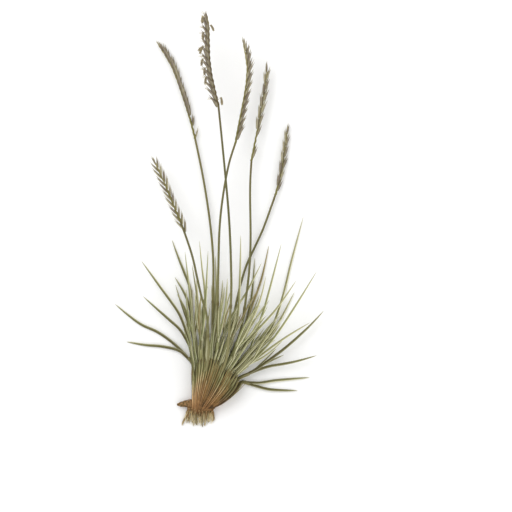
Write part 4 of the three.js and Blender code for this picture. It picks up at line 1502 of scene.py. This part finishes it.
body = {"path": [], "thickness": [], "tone": 0.0}
for i in range(BODY_STEPS + 1):
    *place, radius = spline_point(RHIZOME, i / BODY_STEPS)
    body["path"].append(place)
    body["thickness"].append(radius * (0.93 + 0.1 * (i % RING_STEPS) / RING_STEPS))
scales = []
for i in range(SCALES):
    share = mix(0.06, 0.62, i / (SCALES - 1))
    angle = i * 2.4
    path, thickness = [], [0.9, 1.0, 0.85, 0.55, 0.1]
    for k, back in enumerate((0.0, 0.035, 0.07, 0.1, 0.125)):
        x, y, z, radius = spline_point(RHIZOME, max(0.0, share - back))
        stand_off = radius * 0.97 + 0.06 * k
        height = max(0.25, z + stand_off * math.cos(angle))
        path.append((x, y + stand_off * math.sin(angle), height))
    near = min(1.0, share / 0.2)
    scales.append({
        "path": path, "thickness": [t * near for t in thickness],
        "turn": angle, "tone": between(0, 1),
    })
creeper = stalks("creeping_stem", [body], CREEPER, step=0.3, sides=20, ribs=7.0, rib_depth=0.03)
collars = stalks("stem_scales", scales, CREEPER, step=0.5, sides=8, flatness=0.22, dish=-0.3)

root_lines = []
for plan, radius in ROOTS:
    steps = 4 if len(plan) > 2 else 2
    line = even_steps(plan, steps)
    for i, knot in enumerate(line):
        knot.z = mix(5 if plan[0][0] > -9 else 3.4, radius, min(1, 1.4 * i / steps))
    path = smooth_points(line, 0.8)
    root_lines.append({
        "path": [(x + between(-0.1, 0.1), y, z) for (x, y, z), _ in path],
        "thickness": [
            radius * mix(1, 0.55, s) * between(0.85, 1.1) * (1 if s < 0.93 else 0.6)
            for _, s in path
        ],
        "tone": chance(),
    })
for _ in range(ROOT_FIBRES):
    x, y = between(-12.6, 5), -11.5
    drop, sway, thick = between(4.5, 12), between(-0.8, 0.8), between(0.25, 0.6)
    lean = -0.1 * drop if x < -9 else between(-0.08, 0.08) * drop
    path, thickness = [], []
    for k in range(9):
        s = k / 8
        path.append((
            x + lean * s + sway * math.sin(5 * s),
            y - drop * s,
            mix(4.4, 0.8, min(1, 1.5 * s)) + between(-0.1, 0.1),
        ))
        thickness.append(thick * (1.5 - 0.9 * s if s < 0.95 else 0.3))
    root_lines.append({"path": path, "thickness": thickness, "tone": chance()})
roots = stalks("cord_roots", root_lines, ROOT, step=0.5, sides=12, ribs=5.0, rib_depth=0.05)

hair_lines = []
for _ in range(ROOTLETS):
    x, y = between(-14.5, 4.6), between(-13, -15.5)
    end_x = x + between(-1.8, 1.8) - (2.4 if x < -11 else 0)
    end_y = -25.4 + abs(x + 5) * 0.22 + between(0, 4)
    bend = between(-0.9, 0.9)
    start_z, end_z = between(1.2, 4.0), between(0.25, 1.8)
    path = []
    for k in range(6):
        s = k / 5
        path.append((
            mix(x, end_x, s) + bend * math.sin(math.pi * s),
            mix(y, end_y, s),
            max(0.2, mix(start_z, end_z, s)),
        ))
    thick = between(0.12, 0.3)
    hair_lines.append({
        "path": path, "thickness": [thick * (1 - 0.6 * k / 5) for k in range(6)], "tone": chance(),
    })
rootlets = stalks("rootlets", hair_lines, ROOTLET, step=1.0, sides=6)
dress(joined("creeping_stem", creeper, collars), "rhizome", "rhizome")
dress(roots, "rhizome")
dress(rootlets, "rhizome")


# Table, light and camera

TABLE_HALF, TABLE_Z = 3, -0.0002
VIEW_CENTRE, VIEW_WIDTH, VIEW_HEIGHT = (34.65 * MM, 94.15 * MM), 358.4 * MM, 3.0
SENSOR_WIDTH = 36


def plain_floor():
    corners = [(-1, -1), (1, -1), (1, 1), (-1, 1)]
    points = [(x * TABLE_HALF, y * TABLE_HALF, TABLE_Z) for x, y in corners]
    mesh = marked_mesh("table_top", points, [], [(0, 1, 2, 3)])
    paper = Finish("pale_table", Roughness=0.9, Specular_IOR_Level=0.2)
    paper.shader.inputs["Base Color"].default_value = (0.93, 0.93, 0.925, 1)
    mesh.materials.append(paper.material)
    floor = stand("table_top", mesh)


def soft_light(name, place, aim, size, power):
    light = bpy.data.lights.new(name, "AREA")
    light.shape, light.size, light.energy = "DISK", size, power
    lamp = bpy.data.objects.new(name, light)
    lamp.location = place
    lamp.rotation_mode = "QUATERNION"
    lamp.rotation_quaternion = (Vector(aim) - Vector(place)).to_track_quat("-Z", "Y")
    bpy.context.scene.collection.objects.link(lamp)


plain_floor()
soft_light("window", (-0.55, 0.75, 1.1), (*VIEW_CENTRE, 0), size=1.0, power=6)
soft_light("fill", (0.9, -0.5, 1.2), (*VIEW_CENTRE, 0), size=1.4, power=1.5)

world = bpy.data.worlds.new("studio")
world.use_nodes = True
sky = world.node_tree.nodes["Background"].inputs
sky["Color"].default_value = (1, 1, 1, 1)
sky["Strength"].default_value = 0.95
bpy.context.scene.world = world
bpy.context.scene.view_settings.view_transform = "Standard"

lens = bpy.data.cameras.new("overhead")
lens.sensor_width = SENSOR_WIDTH
lens.lens = SENSOR_WIDTH * VIEW_HEIGHT / VIEW_WIDTH
camera = bpy.data.objects.new("overhead", lens)
camera.location = (*VIEW_CENTRE, VIEW_HEIGHT)
bpy.context.scene.collection.objects.link(camera)
bpy.context.scene.camera = camera
